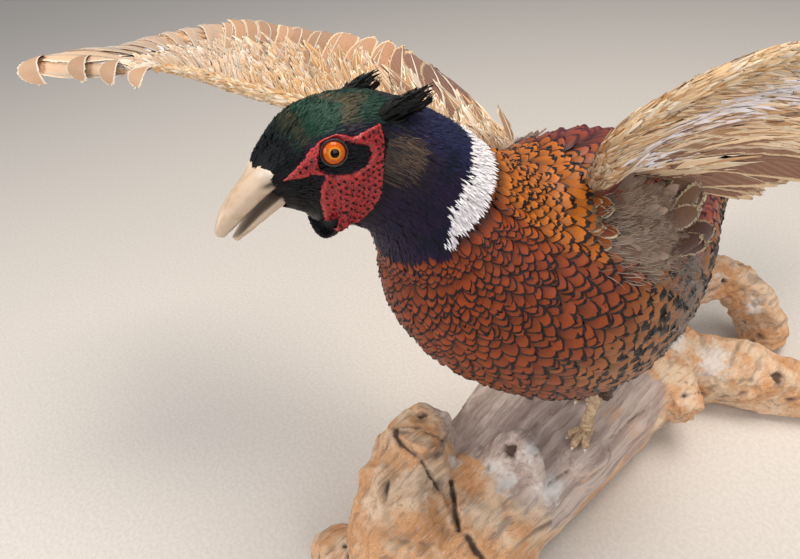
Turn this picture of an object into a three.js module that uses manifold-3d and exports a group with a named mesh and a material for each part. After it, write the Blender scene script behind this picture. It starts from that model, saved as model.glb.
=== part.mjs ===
// A mounted cock pheasant with its wings spread, standing on a piece of driftwood.
// Millimetres, +Z up. The bird looks along -Y and its left side is +X.
// The origin is on the floor, on the flat underside of the driftwood, below the feet.

import * as THREE from 'three';
import { mergeVertices } from 'three/addons/utils/BufferGeometryUtils.js';
import Module from 'manifold-3d';

const wasm = await Module();
wasm.setup();

// ---------- driving dimensions ----------

const GAP = 0.3; // clear space between neighbouring pieces
const FLOOR = 0; // level of the driftwood's flat underside

// The trunk, neck and head hang on one line. Each station gives a place on that line,
// half the width, and the height above and below the line.
const BODY_LINE = [
  { at: [18, 214, 329], out: 10, up: 5, down: 8 },
  { at: [18, 182, 328], out: 20, up: 13, down: 24 },
  { at: [18, 148, 320], out: 29, up: 31, down: 48 },
  { at: [18, 100, 297], out: 44, up: 53, down: 88 },
  { at: [18, 40, 296], out: 66, up: 77, down: 114 },
  { at: [16, -25, 308], out: 78, up: 90, down: 100 },
  { at: [11, -80, 334], out: 72, up: 79, down: 79 },
  { at: [7, -114, 364], out: 53, up: 58, down: 62 },
  { at: [4, -134, 396], out: 38, up: 39, down: 43 },
  { at: [2, -153, 424], out: 28, up: 30, down: 35 },
  { at: [0, -177, 446], out: 20, up: 25, down: 38 },
  { at: [0, -200, 454], out: 18.5, up: 21, down: 42 },
  { at: [0, -215, 452], out: 14.5, up: 15, down: 31 },
  { at: [0, -227, 447.5], out: 8.5, up: 8.5, down: 14 },
];
const NECK_BASE = 8.2; // stations along the line where the trunk, neck and head part
const HEAD_BASE = 9.7;

// The two halves of the bill, from under the forehead to their tips. The bill stands a little open.
const UPPER_BILL = [
  { at: [0, -219, 451], out: 7, up: 6.5, down: 3.0 },
  { at: [0, -234, 448.5], out: 6, up: 5.6, down: 4.4 },
  { at: [0, -246, 443.5], out: 3.8, up: 3.8, down: 4.0 },
  { at: [0, -253, 437.5], out: 1.3, up: 1.4, down: 1.6 },
];
const LOWER_BILL = [
  { at: [0, -219, 443.5], out: 6, up: 2.0, down: 4.4 },
  { at: [0, -233, 438.5], out: 4.8, up: 2.4, down: 3.4 },
  { at: [0, -247, 432], out: 1.6, up: 1.5, down: 1.4 },
];

const EYE = { out: 14.6, y: -203.5, z: 455.5, radius: 5.6 };
// The pointed feathers above and behind each ear, as seen on the left side.
const EAR_TUFT = [
  { at: [12, -180, 460], out: 3, up: 4.5, down: 4.5 },
  { at: [15, -167, 463], out: 3, up: 4, down: 4 },
  { at: [16, -155, 466], out: 1, up: 1.2, down: 1.2 },
];

const MIDLINE = 18; // the trunk and legs stand this far to the left of the head
// The right leg stands behind the left one. Each foot is clenched on the wood.
const HOCK = { out: 16, z: 162 };
const THIGH = [
  { at: [26, -14, 250], out: 25, up: 34, down: 34 },
  { at: [23, -8, 212], out: 19, up: 26, down: 25 },
  { at: [19, -4, 180], out: 11, up: 13, down: 13 },
  { at: [16, 0, 156], out: 7, up: 7.5, down: 7.5 },
];
const FOOT = {
  out: 13,
  behindHock: -14,
  tarsusRise: 8,
  overlap: 8,
  left: { hockY: 22, ground: 104 },
  right: { hockY: 66, ground: 106 },
};
// Each toe's angle away from straight ahead, in degrees, and how far it reaches before it curls in.
const TOES = [
  { angle: -34, reach: 15 },
  { angle: 0, reach: 18 },
  { angle: 32, reach: 15 },
  { angle: 186, reach: 12 },
];

// Half of the tail, from the middle feather out. The other half is its mirror image.
const TAIL = [
  { edge: [0.8, 172, 338], tip: [1.2, 604, 284], flesh: 0 },
  { edge: [6, 171, 337], tip: [17, 570, 284], flesh: 0 },
  { edge: [11, 168, 335], tip: [27, 480, 292], flesh: 0 },
  { edge: [15, 164, 332], tip: [38, 390, 300], flesh: 0 },
  { edge: [19, 159, 328], tip: [50, 305, 304], flesh: 0 },
];
const TAIL_FAN = { inner: 9, outer: 0, fingers: 9, notch: 0.12, scallop: 0.03, camber: 0, rows: 2 };

// Each wing is a fan. A station gives a point on the leading edge, the feather tip that lies
// behind it and the half thickness of the flesh there. Feathers are counted from the body out.
const RIGHT_WING = [
  { edge: [-30, -52, 380], tip: [-62, 18, 368], flesh: 9 },
  { edge: [-60, -96, 403], tip: [-92, 10, 386], flesh: 8.5 },
  { edge: [-98, -128, 418], tip: [-160, -2, 414], flesh: 7 },
  { edge: [-138, -142, 424], tip: [-211, 3, 415], flesh: 6.5 },
  { edge: [-178, -149, 426], tip: [-262, -10, 416], flesh: 6 },
  { edge: [-205, -152, 427], tip: [-328, -38, 420], flesh: 5 },
  { edge: [-225, -155, 427], tip: [-372, -98, 418], flesh: 4 },
  { edge: [-240, -158, 427], tip: [-400, -158, 408], flesh: 3 },
  { edge: [-250, -161, 426], tip: [-404, -212, 418], flesh: 2 },
];
const LEFT_WING = [
  { edge: [41, -62, 390], tip: [50, 24, 350], flesh: 9 },
  { edge: [51, -74, 412], tip: [80, 29, 348], flesh: 8 },
  { edge: [62, -78, 432], tip: [92, 40, 356], flesh: 7 },
  { edge: [84, -64, 453], tip: [111, 56, 364], flesh: 6.5 },
  { edge: [104, -50, 465], tip: [139, 76, 371], flesh: 6 },
  { edge: [113, -43, 467], tip: [168, 106, 388], flesh: 5 },
  { edge: [121, -36, 468], tip: [202, 134, 420], flesh: 4 },
  { edge: [128, -29, 468], tip: [238, 142, 456], flesh: 3 },
  { edge: [134, -22, 467], tip: [266, 126, 482], flesh: 2 },
];
const WING_FAN = { inner: 16, outer: 10, fingers: 6, notch: 0.24, scallop: 0.035, camber: 9, rows: 3 };
const TERTIALS = 4; // the innermost feathers of the fan
const WING_FLESH = 0.3; // share of the chord that the flesh and its coverts take
const WING_CHORD = 110; // a usual distance from the leading edge to a feather's tip
const FULL_BOW_CHORD = 150; // shorter chords are bowed less than the camber given
const FEATHER_HALF_THICKNESS = 0.5;

// ---------- materials ----------

const finish = (color, roughness) => new THREE.MeshStandardMaterial({ color, roughness, metalness: 0 });

const FINISH = {
  wood: finish('#c39a70', 0.85),
  trunk: finish('#a4541d', 0.7),
  neck: finish('#221d3f', 0.45),
  head: finish('#1d3a2c', 0.5),
  bill: finish('#cdb894', 0.5),
  eye: finish('#c9741a', 0.1),
  leg: finish('#a98e72', 0.6),
  wing: finish('#c3a684', 0.75),
  tail: finish('#8f7448', 0.7),
};

// ---------- shapes ----------

const v3 = (a) => new THREE.Vector3(a[0], a[1], a[2]);

function solidOf(geometry) {
  const bare = geometry.clone();
  bare.deleteAttribute('normal');
  bare.deleteAttribute('uv');
  const merged = mergeVertices(bare, 1e-4);
  return new wasm.Manifold(
    new wasm.Mesh({
      numProp: 3,
      vertProperties: new Float32Array(merged.attributes.position.array),
      triVerts: new Uint32Array(merged.index.array),
    }),
  );
}

function geometryOf(solid) {
  const mesh = solid.getMesh();
  const geometry = new THREE.BufferGeometry();
  geometry.setAttribute('position', new THREE.BufferAttribute(mesh.vertProperties, 3));
  geometry.setIndex(new THREE.BufferAttribute(mesh.triVerts, 1));
  return geometry;
}

const join = (geometries) => geometries.map(solidOf).reduce((a, b) => a.add(b));
const cut = (geometry, ...tools) =>
  geometryOf(tools.reduce((rest, tool) => rest.subtract(solidOf(tool)), solidOf(geometry)));

// Skins rings of equal length into one closed body, with a point at each end.
function skinRings(rings, startTip, endTip) {
  const around = rings[0].length;
  const positions = rings.flat().concat([startTip, endTip]).flatMap((p) => [p.x, p.y, p.z]);
  const start = rings.length * around;
  const index = [];
  for (let r = 0; r + 1 < rings.length; r += 1) {
    for (let k = 0; k < around; k += 1) {
      const a = r * around + k;
      const b = r * around + ((k + 1) % around);
      index.push(a, b, b + around, a, b + around, a + around);
    }
  }
  const last = (rings.length - 1) * around;
  for (let k = 0; k < around; k += 1) {
    const next = (k + 1) % around;
    index.push(start, next, k);
    index.push(start + 1, last + k, last + next);
  }
  const geometry = new THREE.BufferGeometry();
  geometry.setAttribute('position', new THREE.Float32BufferAttribute(positions, 3));
  geometry.setIndex(index);
  return geometry;
}

// A value of the stations at a place between them, by a smooth curve through them all.
function between(stations, read, place) {
  const i = Math.min(Math.max(Math.floor(place), 0), stations.length - 2);
  const f = place - i;
  const at = (k) => read(stations[Math.min(Math.max(k, 0), stations.length - 1)]);
  const [p0, p1, p2, p3] = [at(i - 1), at(i), at(i + 1), at(i + 2)];
  const slope = (a, b) => (b - a) / 2;
  const m1 = slope(p0, p2);
  const m2 = slope(p1, p3);
  const f2 = f * f;
  const f3 = f2 * f;
  return (2 * f3 - 3 * f2 + 1) * p1 + (f3 - 2 * f2 + f) * m1 + (3 * f2 - 2 * f3) * p2 + (f3 - f2) * m2;
}

const pointBetween = (stations, key, place) =>
  new THREE.Vector3(...[0, 1, 2].map((axis) => between(stations, (s) => s[key][axis], place)));

// A rounded body along a line of stations, from one place on the line to another.
function loft(stations, options) {
  const { from = 0, to = stations.length - 1, steps = 3, around = 16 } = options;
  const { grow = 0, square = 1, above = [0, 0, 1] } = options;
  const count = Math.max(2, Math.round((to - from) * steps));
  const rings = [];
  const axisPoints = [];
  for (let n = 0; n <= count; n += 1) {
    const place = from + ((to - from) * n) / count;
    const centre = pointBetween(stations, 'at', place);
    const ahead = pointBetween(stations, 'at', Math.min(place + 0.05, stations.length - 1));
    const behind = pointBetween(stations, 'at', Math.max(place - 0.05, 0));
    const along = ahead.sub(behind).normalize();
    const side = new THREE.Vector3().crossVectors(along, v3(above)).normalize();
    const upward = new THREE.Vector3().crossVectors(side, along);
    const out = between(stations, (s) => s.out, place) + grow;
    const up = between(stations, (s) => s.up, place) + grow;
    const down = between(stations, (s) => s.down, place) + grow;
    const ring = [];
    for (let k = 0; k < around; k += 1) {
      const angle = (2 * Math.PI * k) / around;
      const swell = (value) => Math.sign(value) * Math.abs(value) ** square;
      const rise = swell(Math.sin(angle)) * (Math.sin(angle) > 0 ? up : down);
      const aside = swell(Math.cos(angle)) * out;
      ring.push(centre.clone().addScaledVector(side, aside).addScaledVector(upward, rise));
    }
    rings.push(ring);
    axisPoints.push(centre);
  }
  return facingOut(skinRings(rings, axisPoints[0], axisPoints[count]));
}

// Where a feather, counted from the inside of a fan, stands on the fan's stations.
function placeOfFeather(stations, fan, feather) {
  const last = stations.length - 1;
  if (fan.outer === 0) return (last * feather) / fan.inner;
  const wrist = last / 2;
  return feather <= fan.inner
    ? (wrist * feather) / fan.inner
    : wrist + ((last - wrist) * (feather - fan.inner)) / fan.outer;
}

// One closed sheet of a fan of feathers, between two counted feathers and two shares of their
// length. The free end is scalloped, and the outer feathers stand apart like fingers.
function fanSheet(stations, fan, side, { from, to, near, far, half, frees = true }) {
  const last = stations.length - 1;
  const perFeather = frees ? [0, 0.3, 0.7] : [0];
  const counts = [from];
  for (let k = Math.ceil(from - 1e-6); k < to; k += 1) {
    for (const part of perFeather) {
      const count = k + part;
      if (count > from + 0.02 && count < to - 0.02) counts.push(count);
    }
  }
  counts.push(to);
  const total = fan.inner + fan.outer;
  const columns = counts.map((count) => {
    const place = placeOfFeather(stations, fan, count);
    const edge = pointBetween(stations, 'edge', place);
    const chord = pointBetween(stations, 'tip', place).sub(edge);
    const ahead = pointBetween(stations, 'edge', Math.min(place + 0.1, last));
    const spine = ahead.sub(pointBetween(stations, 'edge', Math.max(place - 0.1, 0)));
    const back = new THREE.Vector3().crossVectors(spine, chord).normalize().multiplyScalar(side);
    const depth = count > total - fan.fingers ? fan.notch : fan.scallop;
    const share = Math.abs(count - Math.round(count)) < 0.05 ? 1 - depth : 1;
    const flesh = between(stations, (s) => s.flesh, place);
    return { edge, chord, back, share: frees ? share : 1, flesh };
  });
  const rows = [];
  for (let j = 0; j <= fan.rows; j += 1) rows.push(near + ((far - near) * j) / fan.rows);
  const surface = (column, v, lift) => {
    const free = Math.max(0, (v - WING_FLESH) / (1 - WING_FLESH));
    const reach = v * (1 - (1 - column.share) * free);
    const bow = fan.camber * 4 * v * (1 - v) * Math.min(1, column.chord.length() / FULL_BOW_CHORD);
    return column.edge
      .clone()
      .addScaledVector(column.chord, reach)
      .addScaledVector(column.back, bow + lift * half(v, column.flesh));
  };
  const grid = (lift) => columns.flatMap((column) => rows.map((v) => surface(column, v, lift)));
  const points = grid(1).concat(grid(-1));
  const across = rows.length;
  const lower = columns.length * across;
  const id = (i, j) => i * across + j;
  const index = [];
  const quad = (a, b, c, d) => index.push(a, b, c, a, c, d);
  for (let i = 0; i + 1 < columns.length; i += 1) {
    for (let j = 0; j + 1 < across; j += 1) {
      quad(id(i, j), id(i + 1, j), id(i + 1, j + 1), id(i, j + 1));
      quad(lower + id(i, j + 1), lower + id(i + 1, j + 1), lower + id(i + 1, j), lower + id(i, j));
    }
    quad(lower + id(i, 0), lower + id(i + 1, 0), id(i + 1, 0), id(i, 0));
    quad(id(i, across - 1), id(i + 1, across - 1), lower + id(i + 1, across - 1), lower + id(i, across - 1));
  }
  const end = columns.length - 1;
  for (let j = 0; j + 1 < across; j += 1) {
    quad(id(0, j), id(0, j + 1), lower + id(0, j + 1), lower + id(0, j));
    quad(lower + id(end, j), lower + id(end, j + 1), id(end, j + 1), id(end, j));
  }
  const geometry = new THREE.BufferGeometry();
  geometry.setAttribute('position', new THREE.Float32BufferAttribute(points.flatMap((p) => p.toArray()), 3));
  geometry.setIndex(index);
  return facingOut(geometry);
}

// Turns every face round if the closed body is inside out.
function facingOut(geometry) {
  const p = geometry.attributes.position;
  const index = geometry.index.array;
  const corner = (n) => new THREE.Vector3().fromBufferAttribute(p, index[n]);
  let volume = 0;
  for (let n = 0; n < index.length; n += 3) {
    volume += corner(n).dot(new THREE.Vector3().crossVectors(corner(n + 1), corner(n + 2)));
  }
  if (volume < 0) {
    for (let n = 0; n < index.length; n += 3) [index[n + 1], index[n + 2]] = [index[n + 2], index[n + 1]];
  }
  return geometry;
}

// ---------- the object ----------

const pheasant = new THREE.Group();

function addPart(name, geometry, material) {
  const mesh = new THREE.Mesh(geometry, material);
  mesh.name = name;
  pheasant.add(mesh);
}

const SIDES = [
  { name: 'left', sign: 1, wing: LEFT_WING },
  { name: 'right', sign: -1, wing: RIGHT_WING },
];

// ---------- driftwood ----------

const WOOD_TUBES = {
  log: [
    { at: [2, -178, 30], out: 40, up: 38, down: 46 },
    { at: [-4, -110, 44], out: 54, up: 50, down: 56 },
    { at: [-18, -30, 52], out: 73, up: 54, down: 62 },
    { at: [-20, 40, 54], out: 79, up: 53, down: 64 },
    { at: [-9, 110, 52], out: 69, up: 50, down: 62 },
    { at: [2, 180, 48], out: 58, up: 46, down: 60 },
    { at: [8, 240, 42], out: 38, up: 36, down: 50 },
  ],
  burl: [
    { at: [20, -198, 22], out: 30, up: 30, down: 40 },
    { at: [-16, -180, 40], out: 42, up: 42, down: 50 },
    { at: [-48, -150, 56], out: 46, up: 58, down: 62 },
    { at: [-70, -110, 64], out: 40, up: 68, down: 70 },
    { at: [-80, -70, 60], out: 28, up: 58, down: 60 },
  ],
  toe: [
    { at: [-46, -178, 28], out: 36, up: 34, down: 40 },
    { at: [-84, -196, 20], out: 28, up: 26, down: 30 },
    { at: [-108, -202, 10], out: 16, up: 14, down: 20 },
  ],
  perch: [
    { at: [-34, 6, 58], out: 44, up: 42, down: 30 },
    { at: [4, 2, 62], out: 46, up: 43, down: 30 },
    { at: [32, 0, 64], out: 36, up: 40, down: 26 },
    { at: [44, -2, 60], out: 24, up: 28, down: 20 },
  ],
  stub: [
    { at: [-20, -66, 70], out: 26, up: 24, down: 24 },
    { at: [-4, -52, 104], out: 18, up: 16, down: 16 },
    { at: [4, -42, 126], out: 8, up: 8, down: 8 },
  ],
  rootEnd: [
    { at: [24, 160, 62], out: 32, up: 34, down: 38 },
    { at: [54, 148, 62], out: 24, up: 26, down: 32 },
    { at: [76, 134, 56], out: 17, up: 18, down: 24 },
  ],
  rootArch: [
    { at: [-20, 200, 56], out: 44, up: 42, down: 50 },
    { at: [-24, 250, 78], out: 36, up: 34, down: 40 },
    { at: [-8, 300, 92], out: 30, up: 29, down: 28 },
    { at: [26, 338, 82], out: 28, up: 28, down: 26 },
    { at: [58, 354, 46], out: 27, up: 25, down: 30 },
    { at: [76, 356, 6], out: 28, up: 24, down: 26 },
  ],
  rootLow: [
    { at: [24, 214, 44], out: 36, up: 34, down: 46 },
    { at: [72, 236, 40], out: 32, up: 34, down: 42 },
    { at: [122, 260, 36], out: 28, up: 30, down: 38 },
    { at: [162, 286, 26], out: 20, up: 22, down: 30 },
    { at: [184, 302, 12], out: 11, up: 12, down: 18 },
  ],
};
const FLOOR_CUT = new THREE.BoxGeometry(1200, 1400, 200).translate(0, 0, FLOOR - 100);

const wood = join(
  Object.values(WOOD_TUBES).map((stations) => loft(stations, { steps: 2, around: 10, square: 0.75 })),
).subtract(solidOf(FLOOR_CUT));

// ---------- trunk, neck and head ----------

const HALF_GAP = 0.004; // stations along the line: about half of GAP at the two cuts
const trunkShape = (grow) => loft(BODY_LINE, { to: NECK_BASE - HALF_GAP, grow, around: 18 });
const headShape = (grow) => loft(BODY_LINE, { from: HEAD_BASE + HALF_GAP, grow, around: 16 });
const neck = loft(BODY_LINE, { from: NECK_BASE + HALF_GAP, to: HEAD_BASE - HALF_GAP, around: 18 });

const eyeBall = (sign, grow) =>
  new THREE.SphereGeometry(EYE.radius + grow, 12, 8).translate(sign * EYE.out, EYE.y, EYE.z);

// The same stations on either side of a plane that stands at x.
const onSide = (stations, sign, x = 0) =>
  stations.map((s) => ({ ...s, at: [x + sign * s.at[0], s.at[1], s.at[2]] }));

addPart('trunk', trunkShape(0), FINISH.trunk);
addPart('neck', neck, FINISH.neck);
addPart('head', cut(headShape(0), eyeBall(1, GAP), eyeBall(-1, GAP)), FINISH.head);
addPart('bill_upper', cut(loft(UPPER_BILL, { around: 12 }), headShape(GAP)), FINISH.bill);
addPart('bill_lower', cut(loft(LOWER_BILL, { around: 12 }), headShape(GAP)), FINISH.bill);

// ---------- tail ----------

function mirrored(stations, sign) {
  const flip = (p) => [MIDLINE + sign * p[0], p[1], p[2]];
  return stations.map((s) => ({ edge: flip(s.edge), tip: flip(s.tip), flesh: s.flesh }));
}

for (const { name, sign } of SIDES) {
  const half = (v) => FEATHER_HALF_THICKNESS + 0.9 * (1 - v);
  const spread = { from: 0, to: TAIL_FAN.inner, near: 0, far: 1, half };
  const halfTail = fanSheet(mirrored(TAIL, sign), TAIL_FAN, -sign, spread);
  addPart(`tail_${name}`, cut(halfTail, trunkShape(GAP)), FINISH.tail);
}

// ---------- wings ----------

const feathering = (v) => FEATHER_HALF_THICKNESS + 1.2 * Math.max(0, 1 - v) ** 2;
const fleshing = (v, flesh) => feathering(v) + flesh * Math.sin(Math.PI * (v / WING_FLESH) ** 0.65);

for (const { name, sign, wing } of SIDES) {
  const share = GAP / WING_CHORD;
  const seam = 0.03; // feathers left out on each side of a cut across the fan
  const feathers = WING_FAN.inner + WING_FAN.outer;
  const flesh = { near: 0, far: WING_FLESH - share, half: fleshing, frees: false };
  const vane = { near: WING_FLESH + share, far: 1, half: feathering };
  const pieces = {
    arm: { from: 0, to: WING_FAN.inner - seam, ...flesh },
    hand: { from: WING_FAN.inner + seam, to: feathers, ...flesh },
    tertials: { from: 0, to: TERTIALS - seam, ...vane },
    secondaries: { from: TERTIALS + seam, to: WING_FAN.inner - seam, ...vane },
    primaries: { from: WING_FAN.inner + seam, to: feathers, ...vane },
  };
  for (const [piece, bounds] of Object.entries(pieces)) {
    const shape = fanSheet(wing, WING_FAN, sign, bounds);
    const meets = ['arm', 'tertials', 'secondaries'].includes(piece);
    addPart(`wing_${name}_${piece}`, meets ? cut(shape, trunkShape(GAP)) : shape, FINISH.wing);
  }
}

// ---------- legs ----------

// The scaly leg and foot as one solid, from the hock to the toes.
function footSolid({ name, sign }, grow) {
  const x = MIDLINE + sign * FOOT.out;
  const { hockY, ground } = FOOT[name];
  const y = hockY + FOOT.behindHock;
  const hock = [MIDLINE + sign * HOCK.out, hockY, HOCK.z + FOOT.overlap];
  const halfway = [x, (y + hockY) / 2, (HOCK.z + ground) / 2];
  const tarsus = loft(
    [
      { at: hock, out: 4.6, up: 5, down: 5 },
      { at: halfway, out: 5.4, up: 5.8, down: 5.8 },
      { at: [x, y, ground + FOOT.tarsusRise], out: 6.6, up: 7, down: 7 },
    ],
    { steps: 2, around: 10, above: [0, 1, 0], grow },
  );
  const toes = TOES.map(({ angle, reach }) => {
    const heading = THREE.MathUtils.degToRad(angle);
    const at = (share, rise) => [
      x + sign * Math.sin(heading) * reach * share,
      y - Math.cos(heading) * reach * share,
      ground + rise,
    ];
    return loft(
      [
        { at: at(0, 9), out: 4.2, up: 4.4, down: 4.4 },
        { at: at(0.6, 8.4), out: 3.8, up: 4, down: 4 },
        { at: at(1, 4), out: 2.8, up: 2.8, down: 2.8 },
      ],
      { steps: 2, around: 7, grow },
    );
  });
  return join([tarsus, ...toes]);
}

for (const side of SIDES) {
  const { name, sign } = side;
  const stations = onSide(THIGH, sign, MIDLINE).map((s) => ({
    ...s,
    at: [s.at[0], s.at[1] + FOOT[name].hockY, s.at[2]],
  }));
  const thigh = loft(stations, { steps: 2, around: 14, above: [0, 1, 0] });
  const outside = solidOf(cut(thigh, trunkShape(GAP)));
  const tuft = loft(onSide(EAR_TUFT, sign), { steps: 2, around: 8 });
  addPart(`thigh_${name}`, geometryOf(outside.subtract(footSolid(side, GAP))), FINISH.trunk);
  addPart(`foot_${name}`, geometryOf(footSolid(side, 0)), FINISH.leg);
  addPart(`eye_${name}`, eyeBall(sign, 0), FINISH.eye);
  addPart(`ear_tuft_${name}`, cut(tuft, headShape(GAP)), FINISH.neck);
}

const grownFeet = SIDES.map((side) => footSolid(side, GAP));
addPart('driftwood', geometryOf(grownFeet.reduce((rest, foot) => rest.subtract(foot), wood)), FINISH.wood);

export default pheasant;
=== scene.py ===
"""Dresses a mounted cock pheasant and its driftwood: skin, plumage, bare parts and wood.

Lengths are millimetres until a mesh is made. The bird looks along -Y and its left side is +X.
"""

from __future__ import annotations

import logging
import math
import sys
from dataclasses import dataclass, field
from enum import Enum
from typing import Callable, Protocol

import bmesh
import bpy
import numpy as np
from mathutils import Matrix, Vector, noise

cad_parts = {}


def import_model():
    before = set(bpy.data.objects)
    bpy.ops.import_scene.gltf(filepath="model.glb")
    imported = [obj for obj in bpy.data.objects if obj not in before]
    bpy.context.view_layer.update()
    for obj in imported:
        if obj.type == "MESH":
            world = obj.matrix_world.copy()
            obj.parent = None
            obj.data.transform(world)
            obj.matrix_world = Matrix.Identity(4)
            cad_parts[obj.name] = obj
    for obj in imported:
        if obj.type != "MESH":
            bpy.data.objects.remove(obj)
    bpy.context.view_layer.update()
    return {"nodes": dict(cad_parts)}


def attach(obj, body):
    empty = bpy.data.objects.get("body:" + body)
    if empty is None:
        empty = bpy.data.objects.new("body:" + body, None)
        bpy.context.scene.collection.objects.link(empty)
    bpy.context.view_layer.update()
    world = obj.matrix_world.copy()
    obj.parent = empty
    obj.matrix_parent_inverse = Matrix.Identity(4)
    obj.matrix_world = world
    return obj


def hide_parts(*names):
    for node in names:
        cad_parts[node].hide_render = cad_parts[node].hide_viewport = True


LOG = logging.getLogger("pheasant")
MM = 0.001
Array = np.ndarray
Field = Callable[[Array, Array], Array]
SIDES = (("left", 1), ("right", -1))


# ---------- numbers ----------


def linear(colour: str) -> tuple[float, float, float, float]:
    """Turns an sRGB hex colour to the linear one that a shader reads.

    Args:
        colour: The colour, such as "#a4541d".

    Returns:
        Red, green, blue and an alpha of one.
    """
    parts = [int(colour[n : n + 2], 16) / 255 for n in (1, 3, 5)]
    return tuple(c / 12.92 if c <= 0.04045 else ((c + 0.055) / 1.055) ** 2.4 for c in parts) + (1.0,)


def ease(value: Array, low: float, high: float) -> Array:
    """Rises smoothly from 0 at low to 1 at high, or falls where high is the lesser.

    Args:
        value: Where it is read.
        low: The value that gives 0.
        high: The value that gives 1.

    Returns:
        The share, from 0 to 1.
    """
    share = np.clip((np.asarray(value, float) - low) / (high - low), 0, 1)
    return share * share * (3 - 2 * share)


def smooth_between(rows: Array, place: Array) -> Array:
    """Reads a table of stations between its rows, by a smooth curve through them all.

    Args:
        rows: One row of numbers for each station.
        place: Where to read, counted in stations.

    Returns:
        The row of numbers at each place.
    """
    place = np.asarray(place, float)
    last = len(rows) - 1
    start = np.clip(np.floor(place).astype(int), 0, last - 1)
    part = (place - start)[..., None]
    before, here, there, after = (rows[np.clip(start + k, 0, last)] for k in (-1, 0, 1, 2))
    leave, arrive = (there - before) / 2, (after - here) / 2
    two, three = part**2, part**3
    return (
        (2 * three - 3 * two + 1) * here
        + (three - 2 * two + part) * leave
        + (3 * two - 2 * three) * there
        + (three - two) * arrive
    )


def unit(vectors: Array) -> Array:
    """Gives vectors a length of one."""
    return vectors / np.maximum(np.linalg.norm(vectors, axis=-1, keepdims=True), 1e-9)


# ---------- forms that feathers lie on ----------


class Form(Protocol):
    """A surface that feathers grow from, read at two coordinates and a height above the skin."""

    lie: float

    def place(self, along: Array, across: Array, height: Array) -> Array:
        """Gives points on or above the skin."""


@dataclass(frozen=True)
class RoundForm:
    """A rounded body along a line of stations of x, y, z, out, up, down and coat depth.

    The first coordinate counts stations, the second turns round the line in radians.
    """

    stations: tuple[tuple[float, ...], ...]
    above: tuple[float, float, float] = (0.0, 0.0, 1.0)
    first: float = 0.0
    square: float = 1.0
    lie: float = -1.0

    def place(self, along: Array, across: Array, height: Array) -> Array:
        """Gives points above the skin.

        Args:
            along: Places along the line, in stations.
            across: Turns round the line, in radians. A quarter turn is the top.
            height: Heights above the skin.

        Returns:
            The points.
        """
        rows = np.array(self.stations, float)
        last = len(rows) - 1.0
        spot = np.clip(np.asarray(along, float) - self.first, 0.0, last)
        row = smooth_between(rows, spot)
        ahead = smooth_between(rows, np.minimum(spot + 0.05, last))[..., :3]
        behind = smooth_between(rows, np.maximum(spot - 0.05, 0.0))[..., :3]
        line = unit(ahead - behind)
        side = unit(np.cross(line, self.above))
        upward = np.cross(side, line)
        sine, cosine = np.sin(across)[..., None], np.cos(across)[..., None]
        if self.square != 1.0:
            sine = np.sign(sine) * np.abs(sine) ** self.square
            cosine = np.sign(cosine) * np.abs(cosine) ** self.square
        rise = (np.asarray(height) - row[..., 6])[..., None]
        out = np.maximum(row[..., 3:4] + rise, 0.2)
        tall = np.maximum(np.where(sine > 0, row[..., 4:5], row[..., 5:6]) + rise, 0.2)
        return row[..., :3] + side * cosine * out + upward * sine * tall


@dataclass(frozen=True)
class WingForm:
    """One face of a wing's fan, from stations of a leading edge, a feather tip and a flesh.

    The first coordinate runs from the leading edge, 0, to the tips, 1. The second counts stations
    outwards from the body.
    """

    stations: tuple[tuple[float, ...], ...]
    side: int
    face: int
    depth: float = 1.6
    camber: float = 9.0
    flesh_share: float = 0.3
    full_bow_chord: float = 150.0
    lie: float = 1.0

    def place(self, along: Array, across: Array, height: Array) -> Array:
        """Gives points above the skin of this face, and on the fan's middle where it has none.

        Args:
            along: Shares of the chord.
            across: Places along the wing, in stations.
            height: Heights above the skin.

        Returns:
            The points.
        """
        rows = np.array(self.stations, float)
        last = len(rows) - 1.0
        spot = np.clip(np.asarray(across, float), -0.6, last + 0.4)
        inside = np.clip(spot, 0.0, last)
        row = smooth_between(rows, inside)
        ahead = smooth_between(rows, np.minimum(inside + 0.1, last))
        behind = smooth_between(rows, np.maximum(inside - 0.1, 0.0))
        step = (ahead - behind) / (np.minimum(inside + 0.1, last) - np.maximum(inside - 0.1, 0))[..., None]
        row = row + step * (spot - inside)[..., None]
        share = np.asarray(along, float)[..., None]
        edge, chord = row[..., 0:3], row[..., 3:6] - row[..., 0:3]
        back = unit(np.cross(step[..., 0:3], chord)) * self.side
        length = np.linalg.norm(chord, axis=-1, keepdims=True)
        bow = self.camber * 4 * share * (1 - share) * np.minimum(1, length / self.full_bow_chord)
        in_flesh = np.clip(share / self.flesh_share, 0, 1)
        half = 0.5 + row[..., 6:7] * np.sin(np.pi * in_flesh**0.65)
        skin = np.maximum(half - self.depth, 0.2)
        return edge + chord * share + back * (bow + self.face * (skin + np.asarray(height)[..., None]))


def stride(form: Form, along: Array, across: Array) -> tuple[Array, Array]:
    """Measures how many millimetres one step of each coordinate is.

    Args:
        form: The surface.
        along: First coordinates.
        across: Second coordinates.

    Returns:
        The lengths of a step along and of a step across.
    """
    tiny, level = 0.01, np.zeros_like(along)
    down = form.place(along + tiny, across, level) - form.place(along - tiny, across, level)
    over = form.place(along, across + tiny, level) - form.place(along, across - tiny, level)
    lengths = (np.linalg.norm(d, axis=-1) / (2 * tiny) for d in (down, over))
    return tuple(np.maximum(length, 0.5) for length in lengths)


# ---------- meshes ----------


def as_object(name: str, mesh: bpy.types.Mesh, finish: bpy.types.Material) -> bpy.types.Object:
    """Puts a mesh in the scene as a smooth, finished piece.

    Args:
        name: The piece's name.
        mesh: Its mesh, in metres.
        finish: Its material.

    Returns:
        The new object.
    """
    piece = bpy.data.objects.new(name, mesh)
    bpy.context.scene.collection.objects.link(piece)
    mesh.materials.append(finish)
    mesh.polygons.foreach_set("use_smooth", np.ones(len(mesh.polygons), bool))
    return piece


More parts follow.
